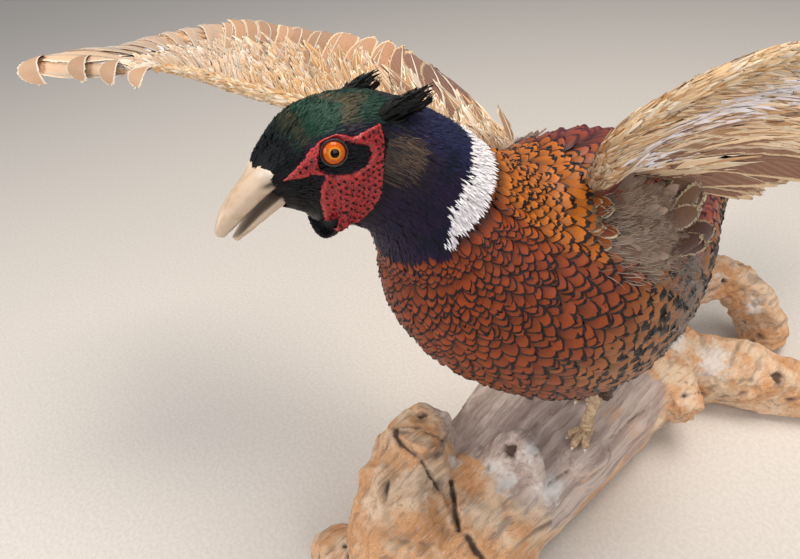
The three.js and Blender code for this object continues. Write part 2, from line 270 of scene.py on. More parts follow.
def joined_mesh(name: str, points: Array, quads: Array) -> bpy.types.Mesh:
    """Joins many copies of one pattern, each bent its own way, into one mesh.

    Args:
        name: The mesh's name.
        points: Millimetre points, one row of them for each copy.
        quads: The pattern's faces.

    Returns:
        The mesh, in metres.
    """
    copies, corners = points.shape[0], points.shape[1]
    faces = (quads[None] + corners * np.arange(copies)[:, None, None]).reshape(-1, 4)
    mesh = bpy.data.meshes.new(name)
    mesh.vertices.add(copies * corners)
    mesh.vertices.foreach_set("co", (points.reshape(-1) * MM).astype(np.float32))
    mesh.loops.add(faces.size)
    mesh.loops.foreach_set("vertex_index", faces.reshape(-1).astype(np.int32))
    mesh.polygons.add(len(faces))
    mesh.polygons.foreach_set("loop_start", np.arange(0, faces.size, 4, dtype=np.int32))
    mesh.update(calc_edges=True)
    return mesh


def add_map(mesh: bpy.types.Mesh, name: str, corners: Array) -> None:
    """Adds a UV map from one pair of numbers for each vertex.

    Args:
        mesh: The mesh.
        name: The map's name.
        corners: A pair for each vertex.
    """
    picks = np.empty(len(mesh.loops), np.int32)
    mesh.loops.foreach_get("vertex_index", picks)
    layer = mesh.uv_layers.new(name=name)
    layer.data.foreach_set("uv", corners[picks].astype(np.float32).reshape(-1))


def add_colours(mesh: bpy.types.Mesh, name: str, colours: Array) -> None:
    """Adds a colour attribute, one for each vertex.

    Args:
        mesh: The mesh.
        name: The attribute's name.
        colours: Three numbers for each vertex.
    """
    layer = mesh.attributes.new(name, "FLOAT_COLOR", "POINT")
    full = np.concatenate([colours, np.ones((len(colours), 1))], axis=1)
    layer.data.foreach_set("color", full.astype(np.float32).reshape(-1))


def sheet_mesh(name: str, across: int, along: int, shape: Callable[[Array, Array], Array]) -> bpy.types.Mesh:
    """Bends a grid to a surface, closing it where its sides meet.

    Args:
        name: The mesh's name.
        across: Faces from side to side.
        along: Faces from end to end.
        shape: Gives millimetre points for shares across and along.

    Returns:
        The mesh, in metres, with its shares as the map Sheet.
    """
    grid = bmesh.new()
    bmesh.ops.create_grid(grid, x_segments=across, y_segments=along, size=1.0)
    shares = np.array([(v.co.x, v.co.y) for v in grid.verts]) / 2 + 0.5
    layer = grid.loops.layers.uv.new("Sheet")
    for face in grid.faces:
        for loop in face.loops:
            loop[layer].uv = shares[loop.vert.index]
    for vert, point in zip(grid.verts, shape(shares[:, 0], shares[:, 1]) * MM):
        vert.co = point
    bmesh.ops.remove_doubles(grid, verts=grid.verts, dist=0.00002)
    bmesh.ops.recalc_face_normals(grid, faces=grid.faces)
    mesh = bpy.data.meshes.new(name)
    grid.to_mesh(mesh)
    grid.free()
    return mesh


# ---------- finishes ----------


def add_node(tree: bpy.types.NodeTree, kind: str, inputs: dict | None = None, **settings: object) -> bpy.types.Node:
    """Adds a shader node with its settings, values and links.

    Args:
        tree: The material's node tree.
        kind: The node's type, without its ShaderNode prefix.
        inputs: A number, colour or output socket for each named or numbered input.
        **settings: Properties of the node itself.

    Returns:
        The new node.
    """
    node = tree.nodes.new(f"ShaderNode{kind}")
    for name, value in settings.items():
        setattr(node, name, value)
    for key, value in (inputs or {}).items():
        if isinstance(value, bpy.types.NodeSocket):
            tree.links.new(value, node.inputs[key])
        else:
            node.inputs[key].default_value = value
    return node


class Blend(Enum):
    """Ways that one colour is laid over another."""

    MIX = "MIX"
    MULTIPLY = "MULTIPLY"
    SCREEN = "SCREEN"


def mixed(tree: bpy.types.NodeTree, share: object, under: object, over: object, blend: Blend = Blend.MIX) -> object:
    """Lays one colour over another.

    Args:
        tree: The material's node tree.
        share: How much of the second shows.
        under: The first colour.
        over: The second colour.
        blend: How they combine.

    Returns:
        The mixed colour's socket.
    """
    node = add_node(tree, "Mix", {0: share, 6: under, 7: over}, data_type="RGBA", blend_type=blend.value)
    return node.outputs[2]


def worked(tree: bpy.types.NodeTree, operation: str, *values: object) -> object:
    """Does arithmetic on numbers or sockets.

    Args:
        tree: The material's node tree.
        operation: The Math node's operation.
        *values: Its inputs.

    Returns:
        The result's socket.
    """
    return add_node(tree, "Math", dict(enumerate(values)), operation=operation).outputs[0]


def stepped(tree: bpy.types.NodeTree, value: object, low: float, high: float, to: tuple = (0.0, 1.0)) -> object:
    """Eases a value from one number to another.

    Args:
        tree: The material's node tree.
        value: The socket read.
        low: Where the result starts.
        high: Where it ends.
        to: The numbers at the start and the end.

    Returns:
        The eased socket.
    """
    node = add_node(
        tree,
        "MapRange",
        {0: value, 1: low, 2: high, 3: to[0], 4: to[1]},
        interpolation_type="SMOOTHSTEP",
    )
    return node.outputs[0]


def new_material(name: str, roughness: float, **sockets: object) -> tuple:
    """Starts a material with one surface shader.

    Args:
        name: The material's name.
        roughness: The shader's roughness.
        **sockets: Other shader inputs, with underscores for spaces.

    Returns:
        The material, its node tree and its surface shader.
    """
    material = bpy.data.materials.new(name)
    material.use_nodes = True
    tree = material.node_tree
    shader = tree.nodes["Principled BSDF"]
    shader.inputs["Roughness"].default_value = roughness
    for key, value in sockets.items():
        shader.inputs[key.replace("_", " ")].default_value = value
    return material, tree, shader


@dataclass(frozen=True)
class FeatherKeratin:
    """Feather vane: keratin barbs lying side by side, which give a soft, fine-grooved gloss."""

    name: str
    roughness: float = 0.5
    sheen: float = 0.15
    metallic: float = 0.0
    barb_depth: float = 0.25
    barbs: float = 26.0
    streak: float = 0.35
    bars: float = 0.0
    shaft: float = 0.0
    shaft_colour: str = "#e9dcc2"
    # shaded: how dark the painted shade at each feather's root is, as a share of its full colour.
    shaded: float = 0.45
    gloss: float = 0.5

    def material(self) -> bpy.types.Material:
        """Builds the material, which reads its colours and marks from the feathers themselves.

        Returns:
            The material.
        """
        material, tree, shader = new_material(
            self.name, self.roughness, Sheen_Weight=self.sheen, Metallic=self.metallic
        )
        shader.inputs["Sheen Roughness"].default_value = 0.4
        shader.inputs["Specular IOR Level"].default_value = self.gloss
        vane = add_node(tree, "UVMap", uv_map="Vane").outputs[0]
        split = add_node(tree, "SeparateXYZ", {0: vane})
        aside = worked(tree, "ABSOLUTE", worked(tree, "MULTIPLY_ADD", split.outputs[0], 2.0, -1.0))
        down = split.outputs[1]
        ground = add_node(tree, "Attribute", attribute_name="ground").outputs[0]
        rim = add_node(tree, "Attribute", attribute_name="rim").outputs[0]
        marks = add_node(tree, "Attribute", attribute_name="marks").outputs[0]
        widths = add_node(tree, "SeparateXYZ", {0: marks})
        traits = add_node(tree, "Attribute", attribute_name="traits").outputs[0]
        trait = add_node(tree, "SeparateXYZ", {0: traits})
        chance = trait.outputs[0]
        barb = worked(tree, "SUBTRACT", worked(tree, "MULTIPLY", down, 3.0), worked(tree, "MULTIPLY", aside, 0.9))
        seat = add_node(tree, "CombineXYZ", {0: barb, 1: worked(tree, "MULTIPLY", chance, 40.0), 2: aside})
        grain = add_node(tree, "TexNoise", {"Vector": seat.outputs[0], "Scale": self.barbs, "Detail": 2.0})
        wide = add_node(tree, "TexNoise", {"Vector": seat.outputs[0], "Scale": 4.0, "Detail": 2.0})
        wobble = worked(tree, "MULTIPLY_ADD", grain.outputs[0], 0.12, -0.06)
        inside = worked(tree, "SUBTRACT", widths.outputs[1], wobble)
        edge = stepped(tree, worked(tree, "DIVIDE", inside, worked(tree, "ADD", widths.outputs[0], 0.001)), 1.2, 0.7)
        wedge = stepped(tree, worked(tree, "SUBTRACT", widths.outputs[2], worked(tree, "MULTIPLY", wobble, 0.3)), 0.49, 0.515)
        mask = worked(tree, "MAXIMUM", edge, wedge)
        if self.bars:
            beat = worked(tree, "SINE", worked(tree, "MULTIPLY_ADD", barb, self.bars, worked(tree, "MULTIPLY", wide.outputs[0], 5.0)))
            barred = worked(tree, "MULTIPLY", stepped(tree, beat, 0.1, 0.6), trait.outputs[1])
            mask = worked(tree, "MAXIMUM", mask, barred)
        tone = mixed(tree, mask, ground, rim)
        dark = mixed(tree, 1.0, tone, add_node(tree, "CombineColor", {n: stepped(tree, grain.outputs[0], 0.25, 0.75, (1 - self.streak, 1 + 0.4 * self.streak)) for n in range(3)}).outputs[0], Blend.MULTIPLY)
        life = stepped(tree, chance, 0.0, 1.0, (0.82, 1.14))
        # Painted shade: each feather darkens towards its root, where the feather in front overlaps it.
        base = stepped(tree, down, 0.1, 0.95, (self.shaded, 1.12))
        value = worked(tree, "MULTIPLY", life, base)
        tone = mixed(tree, 1.0, dark, add_node(tree, "CombineColor", {n: value for n in range(3)}).outputs[0], Blend.MULTIPLY)
        if self.shaft:
            line = stepped(tree, aside, 0.14, 0.05)
            tone = mixed(tree, worked(tree, "MULTIPLY", line, trait.outputs[2]), tone, linear(self.shaft_colour))
        tree.links.new(tone, shader.inputs["Base Color"])
        bump = add_node(tree, "Bump", {"Strength": self.barb_depth, "Distance": 0.0004, "Height": grain.outputs[0]})
        tree.links.new(bump.outputs[0], shader.inputs["Normal"])
        return material


# ---------- feathers ----------


@dataclass(frozen=True)
class Vane:
    """The outline of one kind of feather, as a grid from its root to its tip."""

    across: int = 4
    along: int = 6
    root: float = 0.45
    broadest: float = 0.55
    tip_power: float = 2.2
    crowd: float = 1.4

    def pattern(self) -> tuple[Array, Array, Array, Array]:
        """Lays out the grid.

        Returns:
            Each vertex's place across, from -1 to 1, and along, from 0 to 1, the share of the
            full width there, and the faces.
        """
        grid = bmesh.new()
        bmesh.ops.create_grid(grid, x_segments=self.across, y_segments=self.along, size=1.0)
        across = np.array([v.co.x for v in grid.verts])
        along = 1 - (0.5 - np.array([v.co.y for v in grid.verts]) / 2) ** self.crowd
        quads = np.array([[v.index for v in face.verts] for face in grid.faces])
        grid.free()
        swell = self.root + (1 - self.root) * ease(along, 0.0, self.broadest)
        past = np.clip((along - self.broadest) / (1 - self.broadest), 0, 1)
        taper = np.sqrt(np.maximum(1 - past**self.tip_power, 0.004))
        return across, along, swell * taper, quads


    def marks(self, looks: Array, slender: float = 3.0) -> Array:
        """Works out each feather's markings at each vertex of the grid.

        Args:
            looks: Sides, tip and wedge for each feather.
            slender: How many half widths long the feather is.

        Returns:
            For each vertex the rim's width and its own distance inside the outline, in half
            widths, and the wedge, which is dark above a half.
        """
        across, along, wide, _ = self.pattern()
        line = np.linspace(0.0, 1.0, 160)
        swell = self.root + (1 - self.root) * ease(line, 0.0, self.broadest)
        past = np.clip((line - self.broadest) / (1 - self.broadest), 0, 1)
        edge = swell * np.sqrt(np.maximum(1 - past**self.tip_power, 0.0))
        sideways = np.abs(across) * wide
        apart = np.hypot(sideways[:, None] - edge[None], (along[:, None] - line[None]) * slender)
        gap = apart.min(axis=1)
        tipward = ease(along, 0.5, 0.95)
        rim = looks[:, 0:1] + looks[:, 1:2] * tipward[None]
        wedge = 0.5 + looks[:, 2:3] * (1 - 0.95 * sideways[None]) - (1 - along[None]) - 0.5 * (looks[:, 2:3] <= 0)
        return np.stack([rim, np.broadcast_to(gap, rim.shape), np.clip(wedge, 0, 1)], axis=-1)


@dataclass
class Plumes:
    """Feathers about to be grown: where each one's root is, and its own sizes."""

    along: Array
    across: Array
    length: Array
    width: Array
    yaw: Array
    base: Array
    rise: Array
    camber: Array
    roll: Array
    ragged: float = 0.0
    curl: Array | float = 0.0
    sway: Array | float = 0.0
    bend: float = 3.0
    gauge: Array | None = None


def grown(form: Form, vane: Vane, plumes: Plumes, dice: np.random.Generator) -> tuple[Array, Array]:
    """Bends the feather pattern over the form, once for each feather.

    Args:
        form: What the feathers grow on.
        vane: Their outline.
        plumes: Their roots and sizes.
        dice: Seeded chance.

    Returns:
        The points, and the pattern's places across and along as pairs from 0 to 1.
    """
    aside, down, wide, _ = vane.pattern()
    gauge = plumes.along if plumes.gauge is None else plumes.gauge
    near, over = stride(form, gauge, plumes.across)
    count, corners = len(plumes.along), len(aside)
    uneven = 1 + plumes.ragged * dice.uniform(-1, 1, (count, corners)) * (np.abs(aside) > 0.9)
    uneven = np.where(down[None] > 0.35, uneven, 1.0)
    reach = plumes.length[:, None] * down * (1 + 0.5 * plumes.ragged * dice.uniform(-1, 1, (count, corners)) * (down > 0.9))
    spread = 0.5 * plumes.width[:, None] * aside * wide * uneven
    sway = np.broadcast_to(np.asarray(plumes.sway, float), (count,))[:, None]
    angle = plumes.yaw[:, None] + sway * down
    forward = reach * np.cos(angle) - spread * np.sin(angle)
    sideways = reach * np.sin(angle) + spread * np.cos(angle)
    along = plumes.along[:, None] + form.lie * forward / near[:, None]
    across = plumes.across[:, None] + sideways / over[:, None]
    curl = np.broadcast_to(np.asarray(plumes.curl, float), (count,))[:, None]
    height = (
        plumes.base[:, None]
        + plumes.rise[:, None] * down
        - plumes.camber[:, None] * aside**2 * wide
        + plumes.roll[:, None] * aside
        + curl * down**plumes.bend
    )
    pairs = np.stack([aside / 2 + 0.5, down], axis=-1)
    return form.place(along, across, height), pairs


@dataclass
class Rows:
    """Rows of feathers laid like tiles on part of a form."""

    form: Form
    start: float
    end: float
    low: float
    high: float
    exposure: Field
    spacing: Field
    samples: int = 260
    jitter: float = 0.12

    def roots(self, dice: np.random.Generator) -> tuple[Array, Array]:
        """Finds each feather's root, row after row, every second row shifted by half a feather.

        Args:
            dice: Seeded chance.

        Returns:
            The first and second coordinates of the roots.
        """
        line = np.linspace(self.start, self.end, self.samples)
        turn = np.linspace(self.low, self.high, self.samples)
        along, across = np.meshgrid(line, turn, indexing="ij")
        points = self.form.place(along, across, np.zeros_like(along))
        steps = np.linalg.norm(np.diff(points, axis=0), axis=-1)
        gaps = self.exposure(along, across)
        count = np.zeros_like(along)
        count[1:] = np.cumsum(steps / ((gaps[1:] + gaps[:-1]) / 2), axis=0)
        total = int(np.ceil(count.max()))
        rows = np.arange(total) + 0.5
        order = 1 if self.end > self.start else -1
        table = np.full((total, self.samples), np.nan)
        for k in range(self.samples):
            found = np.interp(rows, count[:, k], line)
            table[:, k] = np.where(rows <= count[-1, k], found, np.nan)
        found_along, found_across = [], []
        middle = self.samples // 2
        for j, row in enumerate(table):
            known = ~np.isnan(row)
            if known.sum() < 3:
                continue
            safe = np.where(known, row, self.end)
            spots = self.form.place(safe, turn, np.zeros_like(safe))
            sizes = self.spacing(safe, turn)
            lengths = np.linalg.norm(np.diff(spots, axis=0), axis=-1) / ((sizes[1:] + sizes[:-1]) / 2)
            running = np.concatenate([[0.0], np.cumsum(lengths)])
            running -= running[middle]
            marks = np.arange(math.ceil(running[0]), math.floor(running[-1]) + 1) + 0.5 * (j % 2)
            marks = marks + dice.uniform(-self.jitter, self.jitter, len(marks))
            turns = np.interp(marks, running, turn)
            keep = np.interp(marks, running, known.astype(float)) > 0.99
            keep &= (marks > running[0]) & (marks < running[-1])
            spread = dice.uniform(-self.jitter, self.jitter, len(marks)) * order
            here = np.interp(turns, turn, safe)
            tall = np.interp(turns, turn, np.asarray(self.exposure(safe, turn)))
            near, _ = stride(self.form, here, turns)
            found_along.append((here + spread * tall / near)[keep])
            found_across.append(turns[keep])
        return np.concatenate(found_along), np.concatenate(found_across)


@dataclass(frozen=True)
class Plumage:
    """Colours and marks of the feathers on one part of the bird.

    The marks are a rim all round, more rim at the tip, both in half widths, and a wedge up from
    the tip as a share of the length. The traits are the strength of cross bars and of a pale shaft.
    """

    ground: str
    rim: str = "#15100f"
    sides: float = 0.0
    tip: float = 0.0
    wedge: float = 0.0
    bars: float = 0.0
    shaft: float = 0.0


@dataclass
class Coat:
    """One piece of coat: its feathers, joined, with their colours and the map that a bake reads."""

    name: str
    form: Form
    vane: Vane
    finish: bpy.types.Material
    strips: bool = False
    points: list[Array] = field(default_factory=list)
    pairs: list[Array] = field(default_factory=list)
    seats: list[Array] = field(default_factory=list)
    looks: list[Array] = field(default_factory=list)

    def grow(self, plumes: Plumes, looks: Array, dice: np.random.Generator) -> None:
        """Adds feathers to the piece.

        Args:
            plumes: Their roots and sizes.
            looks: Twelve numbers for each: ground, rim, marks and traits.
            dice: Seeded chance.
        """
        points, pairs = grown(self.form, self.vane, plumes, dice)
        self.add(points, pairs, np.stack([plumes.across, plumes.along], axis=-1), looks)

    def add(self, points: Array, pairs: Array, seats: Array, looks: Array) -> None:
        """Adds feathers whose points are known.

        Args:
            points: One row of points for each feather.
            pairs: The pattern's places across and along.
            seats: Each root's place on an unwrap of the skin.
            looks: Twelve numbers for each feather.
        """
        self.points.append(points)
        self.pairs.append(np.broadcast_to(pairs, points.shape[:2] + (2,)))
        self.seats.append(seats)
        self.looks.append(looks)

    def piece(self) -> bpy.types.Object:
        """Joins the feathers into one object.

        Returns:
            The finished piece.
        """
        points, pairs = np.concatenate(self.points), np.concatenate(self.pairs)
        seats, looks = np.concatenate(self.seats), np.concatenate(self.looks)
        corners = points.shape[1]
        mesh = joined_mesh(self.name, points, self.vane.pattern()[3])
        if self.strips:
            # A long feather fills a strip of the map from its root to its tip, side by side.
            order = np.argsort(np.argsort(seats[:, 0], kind="stable"))
            lanes = (order[:, None] + 0.08 + 0.84 * pairs[..., 0]) / len(order)
            patch = np.stack([lanes, 0.01 + 0.98 * pairs[..., 1]], axis=-1)
        else:
            low, high = seats.min(axis=0), seats.max(axis=0)
            middle = 0.006 + 0.988 * (seats - low) / (high - low)
            patch = middle[:, None, :] + (pairs - 0.5) * 0.003
        add_map(mesh, "Vane", pairs.reshape(-1, 2))
        add_map(mesh, "OFBake", patch.reshape(-1, 2))
        for name, first in (("ground", 0), ("rim", 3), ("traits", 9)):
            add_colours(mesh, name, np.repeat(looks[:, first : first + 3], corners, axis=0))
        add_colours(mesh, "marks", self.vane.marks(looks[:, 6:9]).reshape(-1, 3))
        piece = as_object(self.name, mesh, self.finish)
        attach(piece, "root")
        LOG.info("%s: %d feathers, %d faces", self.name, len(points), len(mesh.polygons))
        return piece


def looks_of(regions: list[tuple[Plumage, Array]], dice: np.random.Generator, crisp: float = 0.0) -> Array:
    """Blends plumages by their weights, feather by feather.

    Args:
        regions: Each plumage with its weight at every feather.
        dice: Seeded chance.
        crisp: How far a feather takes one plumage alone, from 0 to 1.

    Returns:
        Twelve numbers for each feather.
    """
    weights = np.stack([np.asarray(w, float) for _, w in regions], axis=-1)
    weights = weights + 1e-9
    weights /= weights.sum(axis=-1, keepdims=True)
    if crisp:
        pick = (weights.cumsum(axis=-1) > dice.uniform(0, 1, len(weights))[:, None]).argmax(axis=-1)
        alone = np.eye(weights.shape[-1])[pick]
        weights = weights * (1 - crisp) + alone * crisp
    table = np.array(
        [
            (*linear(p.ground)[:3], *linear(p.rim)[:3], p.sides, p.tip, p.wedge, 0.0, p.bars, p.shaft)
            for p, _ in regions
        ]
    )
    looks = weights @ table
    looks[:, 9] = dice.uniform(0, 1, len(looks))
    return looks


# ---------- the body ----------

# x, y, z, out, up, down and coat depth of the line that trunk, neck and head hang on.
BODY_LINE = (
    (18, 262, 326, 7, 4, 6, 2),
    (18, 214, 329, 10, 5, 8, 3),
    (18, 182, 328, 20, 13, 24, 3.5),
    (18, 148, 320, 29, 31, 48, 4),
    (18, 100, 297, 44, 53, 88, 4.5),
    (18, 40, 296, 66, 77, 114, 4.5),
    (16, -25, 308, 78, 90, 100, 4.5),
    (11, -80, 334, 72, 79, 79, 4),
    (7, -114, 364, 53, 58, 62, 3.4),
    (4, -134, 396, 38, 39, 43, 2.6),
    (2, -153, 424, 28, 29, 35, 2.2),
    (0, -177, 446, 20, 21.5, 38, 1.6),
    (0, -200, 454, 18.5, 17, 42, 1.2),
    (0, -215, 452, 14.5, 12, 31, 1.0),
    (0, -227, 447.5, 8.5, 7.5, 14, 0.8),
)
BODY = RoundForm(BODY_LINE, first=-1.0)


def girth(turn: Array) -> Array:
    """Turns an angle round the body to degrees from the middle of the belly, 0, to the back, 180."""
    return np.degrees(np.abs((turn - 1.5 * np.pi + np.pi) % (2 * np.pi) - np.pi))


def body_regions(place: Array, turn: Array) -> list[tuple[Plumage, Array]]:
    """Says which plumage stands where on trunk and neck.

    Args:
        place: Places along the body line.
        turn: Angles round it.

    Returns:
        Each plumage with its weight at every place.
    """
    around = girth(turn)
    upper = ease(around, 104, 124)
    front = ease(place, 5.6, 7.6)
    flank = ease(place, 6.5, 5.7) * ease(around, 44, 62)
    belly = ease(around, 34, 20) * ease(place, 6.4, 5.2)
    rump = ease(place, 3.4, 2.2)
    back = ease(place, 6.9, 6.2)
    line = ease(place, 8.33, 8.36) * ease(around, 50, 62)
    breast = Plumage("#8a3f16", "#0f090b", 0.15, 0.14, 0.0)
    throat = Plumage("#8d390e", "#180b0e", 0.12, 0.15, 0.06)
    side = Plumage("#a66836", "#100b0b", 0.0, 0.0, 0.25)
    scapular = Plumage("#63261a", "#d9c8a2", 0.14, 0.06, 0.0)
    near_wing = np.exp(-((place - 6.5) ** 2 / 0.09 + (around - 136) ** 2 / 130))
    dark = Plumage("#2e1c16", "#140f0e", 0.1, 0.1, 0.0)
    mantle = Plumage("#c06a18", "#100b0f", 0.08, 0.16, 0.19)
    maroon = Plumage("#8a3a26", "#55202a", 0.25, 0.15, 0.0)
    tailward = Plumage("#7d5a3c", "#5c2f22", 0.25, 0.05, 0.0)
    under = Plumage("#4a3325", "#241a15", 0.1, 0.1, 0.0)
    collar = Plumage("#120e18", "#0b0910", 0.1, 0.1, 0.0)
    return [
        (breast, (1 - upper) * (1 - front) * (1 - flank) * (1 - belly) * (1 - rump)),
        (throat, (1 - upper) * front * (1 - belly)),
        (side, (1 - upper) * flank * (1 - belly) * (1 - rump)),
        (dark, belly * (1 - rump)),
        (mantle, upper * (1 - back)),
        (maroon, upper * back * (1 - rump)),
        (tailward, upper * rump),
        (under, (1 - upper) * rump),
        (collar, 8 * line),
        (scapular, 5 * near_wing * (around > 120)),
    ]


@dataclass
class BodyCoat:
    """The contour feathers of trunk and thighs, laid in rows from the neck to the tail."""

    finish: bpy.types.Material

    def exposure(self, place: Array, turn: Array) -> Array:
        """Gives how much of each feather shows behind the one in front.

        Args:
            place: Places along the body line.
            turn: Angles round it.

        Returns:
            Lengths in millimetres.
        """
        below = np.interp(place, [0, 2, 4, 5.5, 6.5, 7.3, 8.4], [11, 11, 10.5, 8.8, 6.6, 4.4, 2.7])
        above = np.interp(place, [0, 2, 4, 5.5, 6.5, 7.3, 8.4], [10, 10, 11, 9, 6.2, 4.8, 2.8])
        blend = ease(girth(turn), 80, 125)
        return below * (1 - blend) + above * blend

    def spacing(self, place: Array, turn: Array) -> Array:
        """Gives how far apart neighbouring feathers stand.

        Args:
            place: Places along the body line.
            turn: Angles round it.

        Returns:
            Lengths in millimetres.
        """
        return self.exposure(place, turn) * 1.12

    def pieces(self) -> list[bpy.types.Object]:
        """Grows the coat in two pieces, the front and the rear.

        Returns:
            The pieces.
        """
        dice = np.random.default_rng(11)
        # The rows are counted out from the belly, so the seam of the rows is along the back.
        rows = Rows(BODY, 8.42, 0.5, 0.5 * np.pi, 2.5 * np.pi, self.exposure, self.spacing, jitter=0.16)
        place, turn = rows.roots(dice)
        kept = place < 8.42 - 0.06 * ease(girth(turn), 40, 56)
        place, turn = place[kept], turn[kept]
        shown = self.exposure(place, turn)
        pieces = []
        vane = Vane(across=6, along=8, root=0.5, broadest=0.45, tip_power=2.0)
        for name, picked in (("breast_coat", place > 5.6), ("rear_coat", place <= 5.6)):
            s, t, e = place[picked], turn[picked], shown[picked]
            n = len(s)
            depth = smooth_between(np.array(BODY_LINE, float), np.clip(s + 1, 0, 14))[:, 6]
            upper = ease(girth(t), 95, 125)
            plumes = Plumes(
                along=s,
                across=t,
                length=e * dice.uniform(2.5, 2.9, n),
                width=e * (1.8 - 0.2 * upper) * dice.uniform(0.85, 1.15, n),
                yaw=dice.normal(0, 0.16, n) + 0.12 * np.sin(3 * t + 2 * s),
                base=np.full(n, 0.1),
                rise=depth * dice.uniform(0.75, 1.15, n),
                camber=e * (0.17 + 0.1 * upper),
                roll=dice.normal(0, 0.35, n),
                ragged=0.15,
            )
            coat = Coat(name, BODY, vane, self.finish)
            coat.grow(plumes, looks_of(body_regions(s, t), dice, 0.25), dice)
            pieces.append(coat.piece())
        return pieces


# ---------- head and neck ----------

# Outlines on the left side of the head, as y and z. The right side is their mirror image.
WATTLE = (
    (-224, 450), (-220, 453.5), (-215, 456.8), (-212, 459.6), (-207, 461.5), (-201, 461.8), (-197, 460),
    (-195, 458.5), (-192, 459), (-187, 459), (-180, 459), (-180.5, 452), (-182, 446), (-183, 438),
    (-184, 430), (-187, 424), (-191, 418), (-198, 415), (-204, 419), (-208, 427), (-211, 436),
    (-211, 443), (-209, 448), (-213, 449.5), (-218, 449.5),
)
EYE_PATCH = (
    (-211, 454), (-210.5, 450.5), (-205, 446.5), (-196, 444.5), (-190, 446), (-187.5, 449.5),
    (-189, 453.5), (-196, 457), (-202, 461), (-208, 460),
)
EYE_CENTRE = (14.6, -203.5, 455.5)
EYE_RADIUS = 5.6


def edge_distance(outline: tuple[tuple[float, float], ...], points: Array) -> Array:
    """Measures how far points on a side of the head are inside an outline.

    Args:
        outline: The outline's corners, as y and z.
        points: The points.

    Returns:
        Millimetres, above zero inside and below zero outside.
    """
    corners = np.array(outline, float)
    spots = points[..., 1:3]
    nearest = np.full(spots.shape[:-1], 1e9)
    inside = np.zeros(spots.shape[:-1], bool)
    for a, b in zip(corners, np.roll(corners, -1, axis=0)):
        way = b - a
        share = np.clip(((spots - a) @ way) / (way @ way), 0, 1)
        nearest = np.minimum(nearest, np.linalg.norm(spots - a - share[..., None] * way, axis=-1))
        crosses = (a[1] > spots[..., 1]) != (b[1] > spots[..., 1])
        slant = (b[0] - a[0]) * (spots[..., 1] - a[1]) / (b[1] - a[1] + 1e-9) + a[0]
        inside ^= crosses & (spots[..., 0] < slant)
    return np.where(inside, nearest, -nearest)


def head_regions(place: Array, turn: Array) -> list[tuple[Plumage, Array]]:
    """Says which plumage stands where on head and neck.

    Args:
        place: Places along the body line.
        turn: Angles round it.

    Returns:
        Each plumage with its weight at every place.
    """
    around = girth(turn)
    spots = BODY.place(place, turn, np.zeros_like(place))
    patchy = np.array([noise.noise(Vector(p) * 0.09) for p in spots])
    crown = ease(place, 9.9, 10.4) * ease(around, 112, 132)
    face = ease(place, 11.6, 12.3)
    ears = ease(place, 9.3, 9.7) * ease(place, 10.4, 10.1) * ease(around, 62, 80) * ease(around, 118, 100)
    chin = ease(place, 9.9, 10.3) * ease(around, 70, 50)
    nape = ease(around, 95, 135) * ease(place, 10.2, 9.4)
    bronze = np.clip(patchy * 2.4, 0, 0.8) * crown * (1 - face)
    throat = (1 - nape) * (1 - face) * (1 - crown) * (1 - chin)
    return [
        (Plumage("#173c30", "#0c1f1c"), crown * (1 - face) * (1 - bronze)),
        (Plumage("#4b4330", "#1a2822"), bronze * (1 - face)),
        (Plumage("#080c12", "#05080c"), face),
        (Plumage("#2a2026", "#14101a"), ears * (1 - face) * 2),
        (Plumage("#0b0f18", "#080a10"), chin * (1 - face)),
        (Plumage("#262b52", "#121428"), nape * (1 - face) * (1 - crown) * (0.9 + patchy)),
        (Plumage("#221335", "#110b1e"), throat * np.clip(0.7 + 1.6 * patchy, 0.1, 2)),
        (Plumage("#0e122c", "#090b1c"), throat * np.clip(0.7 - 1.6 * patchy, 0.1, 2)),
    ]


